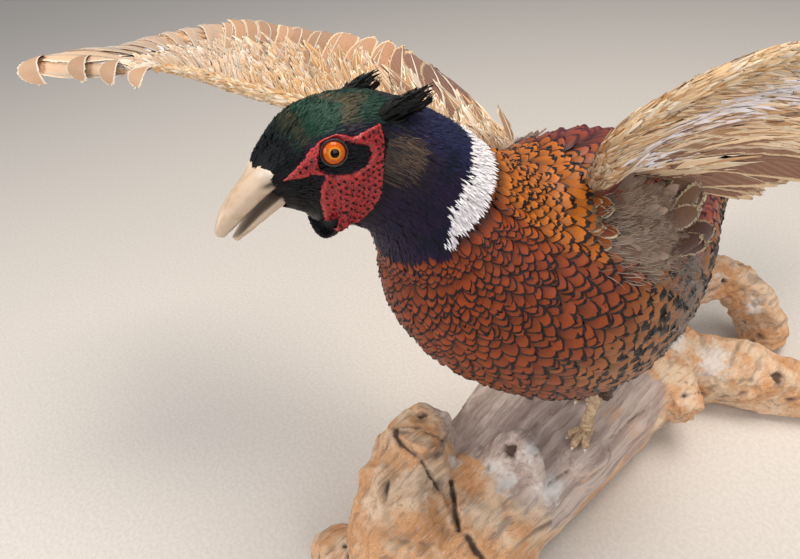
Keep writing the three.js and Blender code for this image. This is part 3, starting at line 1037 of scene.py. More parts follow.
@dataclass
class HeadCoat:
    """The short glossy feathers of head and neck, the white ring and the ear tufts."""

    finish: bpy.types.Material

    def exposure(self, place: Array, turn: Array) -> Array:
        """Gives how much of each feather shows behind the one in front.

        Args:
            place: Places along the body line.
            turn: Angles round it.

        Returns:
            Lengths in millimetres.
        """
        return np.interp(place, [8, 8.6, 9.6, 10.5, 11.5, 13], [2.9, 2.4, 2.0, 1.7, 1.35, 1.1]) + 0 * turn

    def bare(self, points: Array) -> Array:
        """Finds the roots that stand on bare skin, in the eye or under the bill.

        Args:
            points: The roots.

        Returns:
            True where nothing grows.
        """
        beside = np.abs(points[:, 0]) > 6
        wattle = (edge_distance(WATTLE, points) > -0.2) & (edge_distance(EYE_PATCH, points) < 0)
        eye = np.linalg.norm(points[:, 1:3] - np.array(EYE_CENTRE[1:]), axis=-1) < 5.0
        bill = (points[:, 1] < -222) & (points[:, 2] < 453) & (np.abs(points[:, 0]) < 7)
        return (beside & (wattle | eye)) | bill

    def pieces(self) -> list[bpy.types.Object]:
        """Grows the neck, the head and the tufts.

        Returns:
            The pieces.
        """
        dice = np.random.default_rng(23)
        rows = Rows(
            BODY, 12.9, 8.2, 0.5 * np.pi, 2.5 * np.pi,
            lambda p, t: self.exposure(p, t) * 0.8, lambda p, t: self.exposure(p, t) * 0.62, 360, 0.3,
        )
        place, turn = rows.roots(dice)
        roots = BODY.place(place, turn, np.full_like(place, 1.0))
        kept = ~self.bare(roots) & ~((place < self.ring_start(turn) + 0.2) & (girth(turn) > 58))
        place, turn, roots = place[kept], turn[kept], roots[kept]
        shown = self.exposure(place, turn)
        vane = Vane(across=2, along=4, root=0.6, broadest=0.4, tip_power=1.5)
        pieces = []
        for name, picked in (("neck_coat", place < 9.8), ("head_coat", place >= 9.8)):
            s, t, e, spot = place[picked], turn[picked], shown[picked], roots[picked]
            n = len(s)
            depth = smooth_between(np.array(BODY_LINE, float), np.clip(s + 1, 0, 14))[:, 6]
            patch = (edge_distance(EYE_PATCH, spot) > -0.5) & (np.abs(spot[:, 0]) > 6)
            short = np.where(patch, 0.55, 1.0)
            plumes = Plumes(
                along=s,
                across=t,
                length=e * dice.uniform(3.2, 4.2, n) * short,
                width=e * 0.9 * dice.uniform(0.85, 1.1, n) * short,
                yaw=dice.normal(0, 0.12, n),
                base=np.full(n, 0.15),
                rise=depth * dice.uniform(0.5, 0.8, n) * short,
                camber=e * 0.2,
                roll=dice.normal(0, 0.12, n),
                ragged=0.12,
            )
            regions = head_regions(s, t)
            regions.append((Plumage("#0a111c", "#070a10"), patch * 30.0))
            coat = Coat(name, BODY, vane, self.finish)
            coat.grow(plumes, looks_of(regions, dice, 0.45), dice)
            pieces.append(coat.piece())
        return pieces

    def ring_start(self, turn: Array) -> Array:
        """Gives the place along the body line where the white ring starts."""
        return np.interp(girth(turn), [58, 64, 70, 78, 90, 130], [8.30, 8.40, 8.56, 8.68, 8.76, 8.74])

    def ring(self, finish: bpy.types.Material) -> bpy.types.Object:
        """Grows the narrow hair-like feathers of the white ring.

        Args:
            finish: Their finish.

        Returns:
            The piece.
        """
        dice = np.random.default_rng(29)
        rows = Rows(
            BODY, 9.1, 8.42, 0.5 * np.pi, 2.5 * np.pi,
            lambda p, t: np.full(p.shape, 1.4), lambda p, t: np.full(p.shape, 0.95), 300, 0.3,
        )
        place, turn = rows.roots(dice)
        around = girth(turn)
        start = self.ring_start(turn) + 0.22 + dice.uniform(-0.05, 0.03, len(turn))
        kept = (place < start) & (around > 59 + dice.uniform(-2, 2, len(turn))) & (place > 8.55 - 0.10 * (around < 66))
        place, turn = place[kept], turn[kept]
        n = len(place)
        plumes = Plumes(
            along=place, across=turn, length=dice.uniform(5.4, 8.2, n), width=dice.uniform(0.9, 1.5, n),
            yaw=dice.normal(0, 0.12, n), base=np.full(n, 0.3), rise=dice.uniform(1.5, 2.3, n),
            camber=np.full(n, 0.2), roll=dice.normal(0, 0.08, n), ragged=0.2,
        )
        coat = Coat("neck_ring", BODY, Vane(2, 5, 0.7, 0.3, 1.4), finish)
        white, mauve = Plumage("#f2eff0", "#dcd8dc", 0.1), Plumage("#d5d1da", "#c2bec8", 0.1)
        coat.grow(plumes, looks_of([(white, np.full(n, 3.0)), (mauve, np.ones(n))], dice, 0.8), dice)
        return coat.piece()

    def tufts(self) -> list[bpy.types.Object]:
        """Grows the long narrow feathers that stand up behind each ear.

        Returns:
            One piece for each side.
        """
        pieces = []
        black = Plumage("#050a09", "#030505")
        for side, sign in SIDES:
            dice = np.random.default_rng(31)
            stations = (
                (sign * 11, -184, 456, 2.6, 3.6, 3.6, 0.4),
                (sign * 13, -176, 459, 3.0, 4.6, 4.6, 0.4),
                (sign * 15, -166, 460.5, 3.2, 5.0, 5.0, 0.4),
                (sign * 16, -157, 462, 2.6, 4.0, 4.0, 0.4),
                (sign * 16.5, -150, 463.5, 1.6, 2.6, 2.6, 0.4),
            )
            form = RoundForm(stations, lie=1.0)
            n = 260
            plumes = Plumes(
                along=dice.uniform(0.0, 2.6, n),
                across=dice.uniform(0, 2 * np.pi, n),
                length=dice.uniform(6, 12, n),
                width=dice.uniform(1.0, 1.8, n),
                yaw=dice.normal(0, 0.16, n),
                base=dice.uniform(-1.6, 0.2, n),
                rise=dice.uniform(0.0, 1.4, n),
                camber=np.full(n, 0.2),
                roll=dice.normal(0, 0.2, n),
                ragged=0.2,
            )
            coat = Coat(f"ear_tuft_{side}_feathers", form, Vane(2, 5, 0.7, 0.3, 1.2), self.finish)
            coat.grow(plumes, looks_of([(black, np.ones(n))], dice), dice)
            piece = coat.piece()
            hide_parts(f"ear_tuft_{side}")
            pieces.append(piece)
        return pieces


@dataclass(frozen=True)
class WattleSkin:
    """Bare face skin: swollen with small papillae, waxy, with painted shade that makes it darker red between them and a
    painted pale highlight along its edge.
    """

    name: str = "wattle_skin"
    top: str = "#b81e26"
    # groove is the colour of the painted shade between papillae; worn is a painted pale highlight along the edge, not
    # wear.
    groove: str = "#6e1017"
    worn: str = "#cf5f56"

    def material(self) -> bpy.types.Material:
        """Builds the material, which reads the papillae's height and the wattle's edge from the mesh.

        Returns:
            The material.
        """
        material, tree, shader = new_material(self.name, 0.42, Subsurface_Weight=0.12)
        shader.inputs["Subsurface Radius"].default_value = (0.002, 0.0006, 0.0004)
        grain = add_node(tree, "Attribute", attribute_name="grain").outputs[0]
        split = add_node(tree, "SeparateXYZ", {0: grain})
        spot = add_node(tree, "TexCoord").outputs["Object"]
        fine = add_node(tree, "TexNoise", {"Vector": spot, "Scale": 1400.0, "Detail": 2.0})
        # Painted shade: the skin turns darker red in the hollows between the papillae.
        tone = mixed(tree, stepped(tree, split.outputs[0], 0.05, 0.6), linear(self.groove), linear(self.top))
        # Painted highlight: pale pink along the wattle's edge, broken up by fine noise.
        pale = worked(tree, "MULTIPLY", split.outputs[1], stepped(tree, fine.outputs[0], 0.4, 0.7))
        tone = mixed(tree, pale, tone, linear(self.worn))
        tree.links.new(tone, shader.inputs["Base Color"])
        bump = add_node(tree, "Bump", {"Strength": 0.4, "Distance": 0.0003, "Height": fine.outputs[0]})
        tree.links.new(bump.outputs[0], shader.inputs["Normal"])
        return material


@dataclass
class Wattles:
    """The red face skin of both sides, with rows of tiny black feathers."""

    skin: bpy.types.Material
    feathers: bpy.types.Material
    papilla: float = 0.95
    swell: float = 1.5

    def pieces(self) -> list[bpy.types.Object]:
        """Builds both wattles and their feathers.

        Returns:
            The pieces.
        """
        pieces = []
        for side, sign in SIDES:
            pieces += [self.skin_piece(side, sign), self.feather_piece(side, sign)]
        return pieces

    def spots(self, across: Array, along: Array, sign: int, height: Array) -> Array:
        """Gives points over one cheek.

        Args:
            across: Shares from the brow, 0, to the throat, 1.
            along: Shares from the ear, 0, to the bill, 1.
            sign: The side of the head.
            height: Heights above the skin.

        Returns:
            The points.
        """
        turn = np.radians(140 + 112 * across)
        turn = turn if sign > 0 else np.pi - turn
        return BODY.place(9.5 + 3.2 * along, turn, height)

    def skin_piece(self, side: str, sign: int) -> bpy.types.Object:
        """Swells a patch of the cheek and cuts it to the wattle's outline.

        Args:
            side: The side's name.
            sign: The side of the head.

        Returns:
            The wattle.
        """
        record = {}

        def shape(across: Array, along: Array) -> Array:
            flat = self.spots(across, along, sign, np.zeros_like(across))
            inside = np.minimum(edge_distance(WATTLE, flat), -edge_distance(EYE_PATCH, flat))
            bumps = np.array([noise.voronoi(Vector(p) / self.papilla)[0][:2] for p in flat])
            knob = np.clip((bumps[:, 1] - bumps[:, 0]) / 0.55, 0, 1)
            slow = np.array([noise.noise(Vector(p) * 0.28) for p in flat])
            edge = ease(inside, -0.6, 1.1)
            # knob places the painted shade between papillae, and edge places the painted highlight along the outline.
            record["inside"], record["knob"], record["edge"] = inside, knob, ease(inside, 2.4, 0.2)
            return self.spots(across, along, sign, edge * (self.swell + 0.4 * slow) - 0.4 + 0.55 * edge * np.sqrt(knob))

        mesh = sheet_mesh(f"wattle_{side}", 120, 110, shape)
        layer = mesh.attributes.new("grain", "FLOAT_COLOR", "POINT")
        # Doubles are far apart here, so the vertices keep the grid's order.
        for item, knob, edge in zip(layer.data, record["knob"], record["edge"]):
            item.color = (knob, edge * 0.5, 0.0, 1.0)
        cut = bmesh.new()
        cut.from_mesh(mesh)
        gone = [v for v, inside in zip(cut.verts, record["inside"]) if inside < -0.7]
        bmesh.ops.delete(cut, geom=gone, context="VERTS")
        cut.to_mesh(mesh)
        cut.free()
        piece = as_object(f"wattle_{side}", mesh, self.skin)
        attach(piece, "root")
        LOG.info("wattle_%s: %d faces", side, len(mesh.polygons))
        return piece

    def feather_piece(self, side: str, sign: int) -> bpy.types.Object:
        """Grows the tiny black feathers on the wattle.

        Args:
            side: The side's name.
            sign: The side of the head.

        Returns:
            The feathers.
        """
        dice = np.random.default_rng(41)
        low, high = (140, 252) if sign > 0 else (-72, 40)
        rows = Rows(
            BODY, 12.7, 9.5, np.radians(low), np.radians(high),
            lambda p, t: np.full(p.shape, 2.9), lambda p, t: np.full(p.shape, 2.9), 200, 0.16,
        )
        place, turn = rows.roots(dice)
        roots = BODY.place(place, turn, np.ones_like(place))
        inside = (edge_distance(WATTLE, roots) > 0.9) & (edge_distance(EYE_PATCH, roots) < -0.9)
        place, turn = np.repeat(place[inside], 3), np.repeat(turn[inside], 3)
        n = len(place)
        plumes = Plumes(
            along=place,
            across=turn,
            length=dice.uniform(0.8, 1.35, n),
            width=dice.uniform(0.5, 0.75, n),
            yaw=dice.normal(0, 0.5, n),
            base=np.full(n, self.swell + 0.25),
            rise=dice.uniform(0.15, 0.5, n),
            camber=np.full(n, 0.1),
            roll=dice.normal(0, 0.1, n),
            ragged=0.1,
        )
        coat = Coat(f"wattle_{side}_feathers", BODY, Vane(2, 3, 0.8, 0.3, 1.4), self.feathers)
        coat.grow(plumes, looks_of([(Plumage("#0d0b10", "#070608"), np.ones(n))], dice), dice)
        piece = coat.piece()
        return piece


@dataclass(frozen=True)
class GlassEye:
    """A taxidermist's glass eye: an iris painted behind clear, very smooth glass."""

    name: str = "eye_glass"
    iris: str = "#c4580e"
    rim: str = "#7a2408"
    glow: str = "#dc8c22"
    pupil_angle: float = 0.29
    iris_angle: float = 0.92

    def material(self) -> bpy.types.Material:
        """Builds the material, which reads the angle away from the gaze from the map Gaze.

        Returns:
            The material.
        """
        material, tree, shader = new_material(self.name, 0.4, Specular_IOR_Level=0.0, Coat_Weight=0.5, Coat_Roughness=0.02)
        gaze = add_node(tree, "SeparateXYZ", {0: add_node(tree, "UVMap", uv_map="Gaze").outputs[0]})
        angle = worked(tree, "MULTIPLY", gaze.outputs[1], math.pi)
        seat = add_node(tree, "CombineXYZ", {0: worked(tree, "MULTIPLY", gaze.outputs[0], 60.0), 1: worked(tree, "MULTIPLY", angle, 3.0)})
        rays = add_node(tree, "TexNoise", {"Vector": seat.outputs[0], "Scale": 1.0, "Detail": 3.0})
        tone = mixed(tree, stepped(tree, angle, 0.32, 0.55), linear(self.glow), linear(self.iris))
        tone = mixed(tree, stepped(tree, rays.outputs[0], 0.45, 0.75, (0.0, 0.5)), tone, linear(self.rim))
        tone = mixed(tree, stepped(tree, angle, 0.72, self.iris_angle), tone, linear(self.rim))
        tone = mixed(tree, stepped(tree, angle, self.iris_angle, self.iris_angle + 0.05), tone, linear("#120a08"))
        tone = mixed(tree, stepped(tree, angle, self.pupil_angle + 0.03, self.pupil_angle), tone, linear("#040303"))
        tree.links.new(tone, shader.inputs["Base Color"])
        return material


@dataclass
class Eyes:
    """Both glass eyes and the lids round them."""

    glass: bpy.types.Material
    lid: bpy.types.Material
    gaze: tuple[float, float, float] = (0.86, -0.38, 0.26)
    opening: float = 0.93
    lid_thickness: float = 0.5

    def pieces(self) -> list[bpy.types.Object]:
        """Builds the eyes and the lids.

        Returns:
            The pieces.
        """
        pieces = []
        for side, sign in SIDES:
            centre = Vector((sign * EYE_CENTRE[0], EYE_CENTRE[1], EYE_CENTRE[2]))
            look = Vector((sign * self.gaze[0], self.gaze[1], self.gaze[2])).normalized()
            turn = look.to_track_quat("Z", "Y").to_matrix().to_4x4()
            ball = bmesh.new()
            bmesh.ops.create_uvsphere(ball, u_segments=48, v_segments=32, radius=EYE_RADIUS)
            layer = ball.loops.layers.uv.new("Gaze")
            for face in ball.faces:
                for loop in face.loops:
                    co = loop.vert.co
                    polar = math.acos(max(-1.0, min(1.0, co.z / EYE_RADIUS)))
                    loop[layer].uv = (math.atan2(co.y, co.x) / (2 * math.pi) + 0.5, polar / math.pi)
            bmesh.ops.transform(ball, matrix=Matrix.Scale(MM, 4) @ Matrix.Translation(centre) @ turn, verts=ball.verts)
            mesh = bpy.data.meshes.new(f"eye_{side}_glass")
            ball.to_mesh(mesh)
            ball.free()
            eye = as_object(f"eye_{side}_glass", mesh, self.glass)
            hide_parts(f"eye_{side}")
            pieces += [eye, self.lid_piece(side, centre, turn)]
        for piece in pieces:
            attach(piece, "root")
        return pieces

    def lid_piece(self, side: str, centre: Vector, turn: Matrix) -> bpy.types.Object:
        """Spins a folded rim round the eye's opening.

        Args:
            side: The side's name.
            centre: The eye's centre.
            turn: The eye's turn.

        Returns:
            The lid.
        """
        radius = EYE_RADIUS * math.sin(self.opening)
        level = EYE_RADIUS * math.cos(self.opening)
        lid = bmesh.new()
        made = bmesh.ops.create_circle(lid, segments=10, radius=self.lid_thickness)
        bmesh.ops.scale(lid, vec=(0.8, 1.25, 1.0), verts=made["verts"])
        bmesh.ops.rotate(lid, cent=(0, 0, 0), matrix=Matrix.Rotation(math.radians(90), 3, "X"), verts=made["verts"])
        bmesh.ops.translate(lid, vec=(radius + 0.2, 0, level + 0.15), verts=made["verts"])
        bmesh.ops.spin(
            lid, geom=lid.verts[:] + lid.edges[:], cent=(0, 0, 0), axis=(0, 0, 1),
            angle=2 * math.pi, steps=56, use_merge=True,
        )
        bmesh.ops.remove_doubles(lid, verts=lid.verts, dist=0.001)
        for vert in lid.verts:
            vert.co += vert.co.normalized() * 0.22 * noise.noise(vert.co * 1.6)
            vert.co.x *= 1.06
        bmesh.ops.recalc_face_normals(lid, faces=lid.faces)
        bmesh.ops.transform(lid, matrix=Matrix.Scale(MM, 4) @ Matrix.Translation(centre) @ turn, verts=lid.verts)
        mesh = bpy.data.meshes.new(f"eyelid_{side}")
        lid.to_mesh(mesh)
        lid.free()
        piece = as_object(f"eyelid_{side}", mesh, self.lid)
        return piece


@dataclass(frozen=True)
class LidSkin:
    """Dry eyelid skin: blue-black, creased, a little waxy."""

    name: str = "eyelid_skin"

    def material(self) -> bpy.types.Material:
        """Builds the material.

        Returns:
            The material.
        """
        material, tree, shader = new_material(self.name, 0.4)
        spot = add_node(tree, "TexCoord").outputs["Object"]
        crease = add_node(tree, "TexNoise", {"Vector": spot, "Scale": 1500.0, "Detail": 3.0})
        tone = mixed(tree, stepped(tree, crease.outputs[0], 0.35, 0.7), linear("#0f1016"), linear("#34343c"))
        tree.links.new(tone, shader.inputs["Base Color"])
        bump = add_node(tree, "Bump", {"Strength": 0.5, "Distance": 0.0003, "Height": crease.outputs[0]})
        tree.links.new(bump.outputs[0], shader.inputs["Normal"])
        return material


# ---------- bill ----------


@dataclass(frozen=True)
class BillHorn:
    """Bill sheath: pale keratin grown in layers, polished by use, with painted shade in the nostril and inside the
    bill.
    """

    name: str = "bill_horn"
    pale: str = "#cbb49c"
    warm: str = "#a98867"
    # This colour is the painted shade in the nostril's slit and inside the bill.
    dark: str = "#4b3a2c"

    def material(self) -> bpy.types.Material:
        """Builds the material.

        Returns:
            The material.
        """
        material, tree, shader = new_material(self.name, 0.38, Coat_Weight=0.15, Coat_Roughness=0.3)
        spot = add_node(tree, "TexCoord").outputs["Object"]
        long = add_node(tree, "Mapping", {0: spot})
        long.inputs["Scale"].default_value = (300.0, 60.0, 180.0)
        layers = add_node(tree, "TexNoise", {"Vector": long.outputs[0], "Scale": 1.0, "Detail": 4.0})
        blotch = add_node(tree, "TexNoise", {"Vector": spot, "Scale": 90.0, "Detail": 3.0})
        shade = add_node(tree, "SeparateXYZ", {0: add_node(tree, "Attribute", attribute_name="grain").outputs[0]})
        tone = mixed(tree, stepped(tree, blotch.outputs[0], 0.45, 0.8), linear(self.pale), linear(self.warm))
        tone = mixed(tree, stepped(tree, layers.outputs[0], 0.55, 0.72, (0.0, 0.45)), tone, linear("#8a6a4c"))
        # Painted shade: the nostril's slit and the inside of the bill turn dark brown.
        tone = mixed(tree, shade.outputs[0], tone, linear(self.dark))
        tone = mixed(tree, shade.outputs[1], tone, linear("#dccfc2"))
        tree.links.new(tone, shader.inputs["Base Color"])
        bump = add_node(tree, "Bump", {"Strength": 0.25, "Distance": 0.0004, "Height": layers.outputs[0]})
        tree.links.new(bump.outputs[0], shader.inputs["Normal"])
        return material


@dataclass
class Bill:
    """Both halves of the bill, a little open, with the nostril's lid at its root."""

    horn: bpy.types.Material
    upper: tuple = (
        (0, -208, 450.8, 7.2, 6.0, 3.6, 0),
        (0, -216, 450.6, 7.0, 6.1, 4.0, 0),
        (0, -223, 449.5, 6.5, 6.0, 4.5, 0),
        (0, -230, 447.2, 5.8, 5.5, 4.8, 0),
        (0, -236.5, 444.1, 4.9, 4.8, 4.7, 0),
        (0, -242, 440.6, 3.8, 4.1, 4.1, 0),
        (0, -246, 437.2, 2.5, 3.0, 3.0, 0),
        (0, -248.2, 434.0, 1.1, 1.5, 1.4, 0),
    )
    lower: tuple = (
        (0, -208, 443.8, 6.2, 1.6, 4.4, 0),
        (0, -216, 442.3, 5.9, 2.4, 4.2, 0),
        (0, -224, 439.8, 5.2, 3.0, 3.9, 0),
        (0, -232, 436.6, 4.3, 2.9, 3.1, 0),
        (0, -238.5, 433.3, 3.0, 2.1, 2.2, 0),
        (0, -243.4, 430.6, 1.4, 1.1, 1.1, 0),
    )

    def pieces(self) -> list[bpy.types.Object]:
        """Builds both halves.

        Returns:
            The pieces.
        """
        return [self.half("upper", self.upper, 0.86), self.half("lower", self.lower, 0.8)]

    def half(self, name: str, stations: tuple, square: float) -> bpy.types.Object:
        """Builds one half of the bill.

        Args:
            name: Which half.
            stations: Its line of stations.
            square: How square its section is; 1 is round.

        Returns:
            The piece.
        """
        form = RoundForm(stations, square=square)
        end = len(stations) - 1.0
        record = {}

        def shape(across: Array, along: Array) -> Array:
            turn = across * 2 * np.pi
            spots = form.place(along * end, turn, np.zeros_like(along))
            upper = name == "upper"
            beside = np.abs(spots[:, 0])
            flap = np.exp(-((spots[:, 1] + 226) ** 2 / 9 + (spots[:, 2] - 452.0) ** 2 / 6)) * (beside > 1.5)
            slit = np.exp(-((spots[:, 1] + 226.5) ** 2 / 9 + (spots[:, 2] - 448.6) ** 2 / 0.8)) * (beside > 3)
            ridge = np.exp(-((np.sin(turn) - 1) ** 2) / 0.01) * (0.35 if upper else 0.0)
            grain = np.array([noise.noise(Vector(p) * 0.4) for p in spots]) * 0.12
            inner = ease(np.sin(turn), 0.15, 0.55) * ease(along, 1.0, 0.8) if not upper else ease(np.sin(turn), -0.3, -0.7)
            height = ridge + grain + (2.5 * flap - 1.3 * slit if upper else -1.8 * inner)
            closed = np.sqrt(np.clip(1 - ((along - 0.965) / 0.035).clip(0, 1) ** 2, 0.0, 1))
            points = form.place(along * end, turn, height)
            axis = form.place(along * end, np.zeros_like(turn), np.full_like(turn, -60.0))
            # Painted shade in the nostril's slit and inside the bill; below zero, the paler nostril lid.
            record["shade"] = np.clip(slit * 1.3 + 0.75 * inner, 0, 1) - (0.9 * flap if upper else 0)
            return axis + (points - axis) * closed[:, None]

        mesh = sheet_mesh(f"bill_{name}_horn", 56, 70, shape)
        self.shade(mesh, record["shade"], shape)
        piece = as_object(f"bill_{name}_horn", mesh, self.horn)
        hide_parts(f"bill_{name}")
        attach(piece, "root")
        LOG.info("bill_%s: %d faces", name, len(mesh.polygons))
        return piece

    def shade(self, mesh: bpy.types.Mesh, shades: Array, shape: Callable) -> None:
        """Paints shade into the nostril and the inside of the bill, and pales the nostril's lid.

        Args:
            mesh: The half's mesh, whose doubles are merged.
            shades: The painted shade at each grid vertex; below zero, the lid's paleness.
            shape: The function that placed them. Not used.
        """
        layer = mesh.attributes.new("grain", "FLOAT_COLOR", "POINT")
        share = mesh.uv_layers["Sheet"].data
        across, along = np.zeros(len(mesh.vertices)), np.zeros(len(mesh.vertices))
        for loop in mesh.loops:
            across[loop.vertex_index], along[loop.vertex_index] = share[loop.index].uv
        columns = 57
        rows = len(shades) // columns
        table = shades.reshape(rows, columns)
        row = np.clip(np.rint(along * (rows - 1)).astype(int), 0, rows - 1)
        column = np.clip(np.rint(across * (columns - 1)).astype(int), 0, columns - 1)
        for item, value in zip(layer.data, table[row, column]):
            item.color = (max(value, 0.0), max(-value, 0.0), 0.0, 1.0)


# ---------- wings and tail ----------

# Leading edge, feather tip and half thickness of flesh at stations from the body outwards.
LEFT_WING = (
    (41, -62, 390, 50, 24, 350, 9),
    (51, -74, 412, 80, 29, 348, 8),
    (62, -78, 432, 92, 40, 356, 7),
    (84, -64, 453, 111, 56, 364, 6.5),
    (104, -50, 465, 139, 76, 371, 6),
    (113, -43, 467, 168, 106, 388, 5),
    (121, -36, 468, 202, 134, 420, 4),
    (128, -29, 468, 238, 142, 456, 3),
    (134, -22, 467, 266, 126, 482, 2),
)
RIGHT_WING = (
    (-30, -52, 380, -62, 18, 368, 9),
    (-60, -96, 403, -92, 10, 386, 8.5),
    (-98, -128, 418, -160, -2, 414, 7),
    (-138, -142, 424, -211, 3, 415, 6.5),
    (-178, -149, 426, -262, -10, 416, 6),
    (-205, -152, 427, -328, -38, 420, 5),
    (-225, -155, 427, -372, -98, 418, 4),
    (-240, -158, 427, -400, -158, 408, 3),
    (-250, -161, 426, -404, -212, 418, 2),
)
TAIL_HALF = (
    (0.8, 172, 338, 1.2, 604, 284, 0),
    (6, 171, 337, 17, 570, 284, 0),
    (11, 168, 335, 27, 480, 292, 0),
    (15, 164, 332, 38, 390, 300, 0),
    (19, 159, 328, 50, 305, 304, 0),
)
MIDLINE = 18


@dataclass
class Wing:
    """One wing: flight feathers with their shafts, and coverts on both faces."""

    side: str
    sign: int
    stations: tuple
    flight: bpy.types.Material
    covert: bpy.types.Material
    lining: bpy.types.Material
    shaft: bpy.types.Material
    inner: int = 13
    outer: int = 10
    tertials: int = 4

    def fan(self) -> WingForm:
        """Gives the fan's middle surface, with no flesh."""
        flat = tuple(row[:6] + (0.0,) for row in self.stations)
        return WingForm(flat, self.sign, 1, depth=0.0)

    def place_of(self, feather: Array) -> Array:
        """Gives where a feather, counted from the body, stands on the stations."""
        wrist = 4.0
        return np.where(feather <= self.inner, wrist * feather / self.inner, wrist + wrist * (feather - self.inner) / self.outer)

    def pieces(self) -> list[bpy.types.Object]:
        """Builds every piece of the wing.

        Returns:
            The pieces.
        """
        made = self.flight_pieces() + [self.coverts(1), self.coverts(-1), self.marginals()]
        if self.sign > 0:
            made.append(self.tertial_bunch())
        if self.sign < 0:
            made.append(self.curled_tips())
        return made

    def curled_tips(self) -> bpy.types.Object:
        """Hangs the curled tips of the outer primaries over the leading edge of the hand.

        Returns:
            The piece.
        """
        dice = np.random.default_rng(73)
        share = np.linspace(0, 1, 5)[:, None]
        edge, tip = np.array(self.stations[-1][0:3]), np.array(self.stations[-1][3:6])
        line = edge + (tip - edge) * share + np.array((0, 0, 1)) * (30 * share * (1 - share) - 10) - (0, 4, 0)
        form = RoundForm(tuple((*spot, 10.5, 10.5, 10.5, 0.0) for spot in line.tolist()), lie=1.0)
        plumes = Plumes(
            along=np.array([0.22, 0.88, 1.7, 3.15]), across=np.radians([66.0, 66, 66, 60]),
            length=np.array([22.0, 26, 28, 34]), width=np.array([15.0, 20, 24, 36]), yaw=np.array([1.4, 1.4, 1.4, 1.25]),
            base=np.full(4, 0.4), rise=np.zeros(4), camber=np.full(4, 1.0), roll=np.full(4, 0.6), ragged=0.1,
        )
        coat = Coat(f"wing_{self.side}_curled_tips", form, Vane(8, 30, 0.4, 0.55, 3.0), self.flight)
        tan = Plumage("#cba27e", "#f2e2cc", 0.14, 0.05, 0.0, 0.1)
        coat.grow(plumes, looks_of([(tan, np.ones(4))], dice), dice)
        return coat.piece()

    def flight_pieces(self) -> list[bpy.types.Object]:
        """Grows the flight feathers and lays a shaft on both faces of each.

        Returns:
            The vanes and the shafts.
        """
        dice = np.random.default_rng(53 if self.sign > 0 else 59)
        fan = self.fan()
        total = self.inner + self.outer
        feather = np.arange(total + 1.0)
        place = self.place_of(feather)
        n = len(feather)
        root = np.full(n, 0.10)
        ends = fan.place(np.ones(n), place, np.zeros(n))
        chord = np.linalg.norm(ends - fan.place(np.zeros(n), place, np.zeros(n)), axis=-1)
        primary = feather > self.inner
        width = np.where(primary, 25.0, 27.0) * np.interp(chord, [60, 140], [0.72, 1.0])
        width[-1] *= 0.45 if self.sign < 0 else 1.0
        # The feathers are swept outwards, most near the body and least at the wing's tip.
        slant = np.interp(feather, [0, self.inner, total - 4, total], [0.5, 0.42, 0.1, 0.0])
        length = (1 - root) * chord * dice.uniform(0.965, 1.0, n) / np.cos(slant)
        lifted = 4.0 * ease(feather, total - 5, total - 1) * (self.sign < 0)
        tan = Plumage("#bd8a60", "#edd3b0", 0.10, 0.05, 0.0, 0.12, 0.0)
        pale = Plumage("#e0bb98", "#f4e6d2", 0.12, 0.05, 0.0, 0.05, 0.0)
        chocolate = Plumage("#80543f", "#cfb28c", 0.05, 0.06, 0.0, 0.12, 0.0)
        inmost = ease(feather, self.tertials + 1.5, self.tertials - 0.5)
        outmost = ease(feather, self.inner, self.inner + 3)
        looks = looks_of([(tan, (1 - inmost) * (1 - outmost)), (pale, outmost), (chocolate, inmost)], dice)
        plumes = Plumes(
            along=root,
            across=place,
            length=length,
            width=width,
            yaw=slant + dice.normal(0, 0.006, n),
            base=np.zeros(n),
            rise=dice.normal(0, 0.5, n) + lifted,
            camber=np.full(n, 0.6),
            roll=np.full(n, 1.1),
            ragged=0.05,
            curl=dice.normal(-1.0, 1.2, n),
            bend=7.0,
            gauge=np.full(n, 0.8),
        )
        vane = Vane(across=8, along=44, root=0.35, broadest=0.42, tip_power=3.4, crowd=1.2)
        coat = Coat(f"wing_{self.side}_flight", fan, vane, self.flight, strips=True)
        coat.grow(plumes, looks, dice)
        vanes = coat.piece()
        nodes = [f"wing_{self.side}_{part}" for part in ("tertials", "secondaries", "primaries")]
        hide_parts(*nodes)
        line = Vane(across=2, along=30, root=1.0, broadest=0.01, tip_power=1.3, crowd=1.0)
        rods = Coat(f"wing_{self.side}_shafts", fan, line, self.shaft, strips=True)
        horn = looks_of([(Plumage("#efe3cf"), np.ones(n))], dice)
        near, over = stride(fan, plumes.gauge, place)
        offset = 0.16 * width / over
        for face in (1, -1):
            plumes_face = Plumes(
                along=root, across=place + offset, length=length * 0.97, width=np.full(n, 1.5),
                yaw=plumes.yaw, base=0.35 * plumes.roll + face * 0.45, rise=plumes.rise,
                camber=np.full(n, 0.45 * face), roll=np.zeros(n), curl=plumes.curl, bend=7.0,
                gauge=plumes.gauge,
            )
            rods.grow(plumes_face, horn, dice)
        return [vanes, rods.piece()]

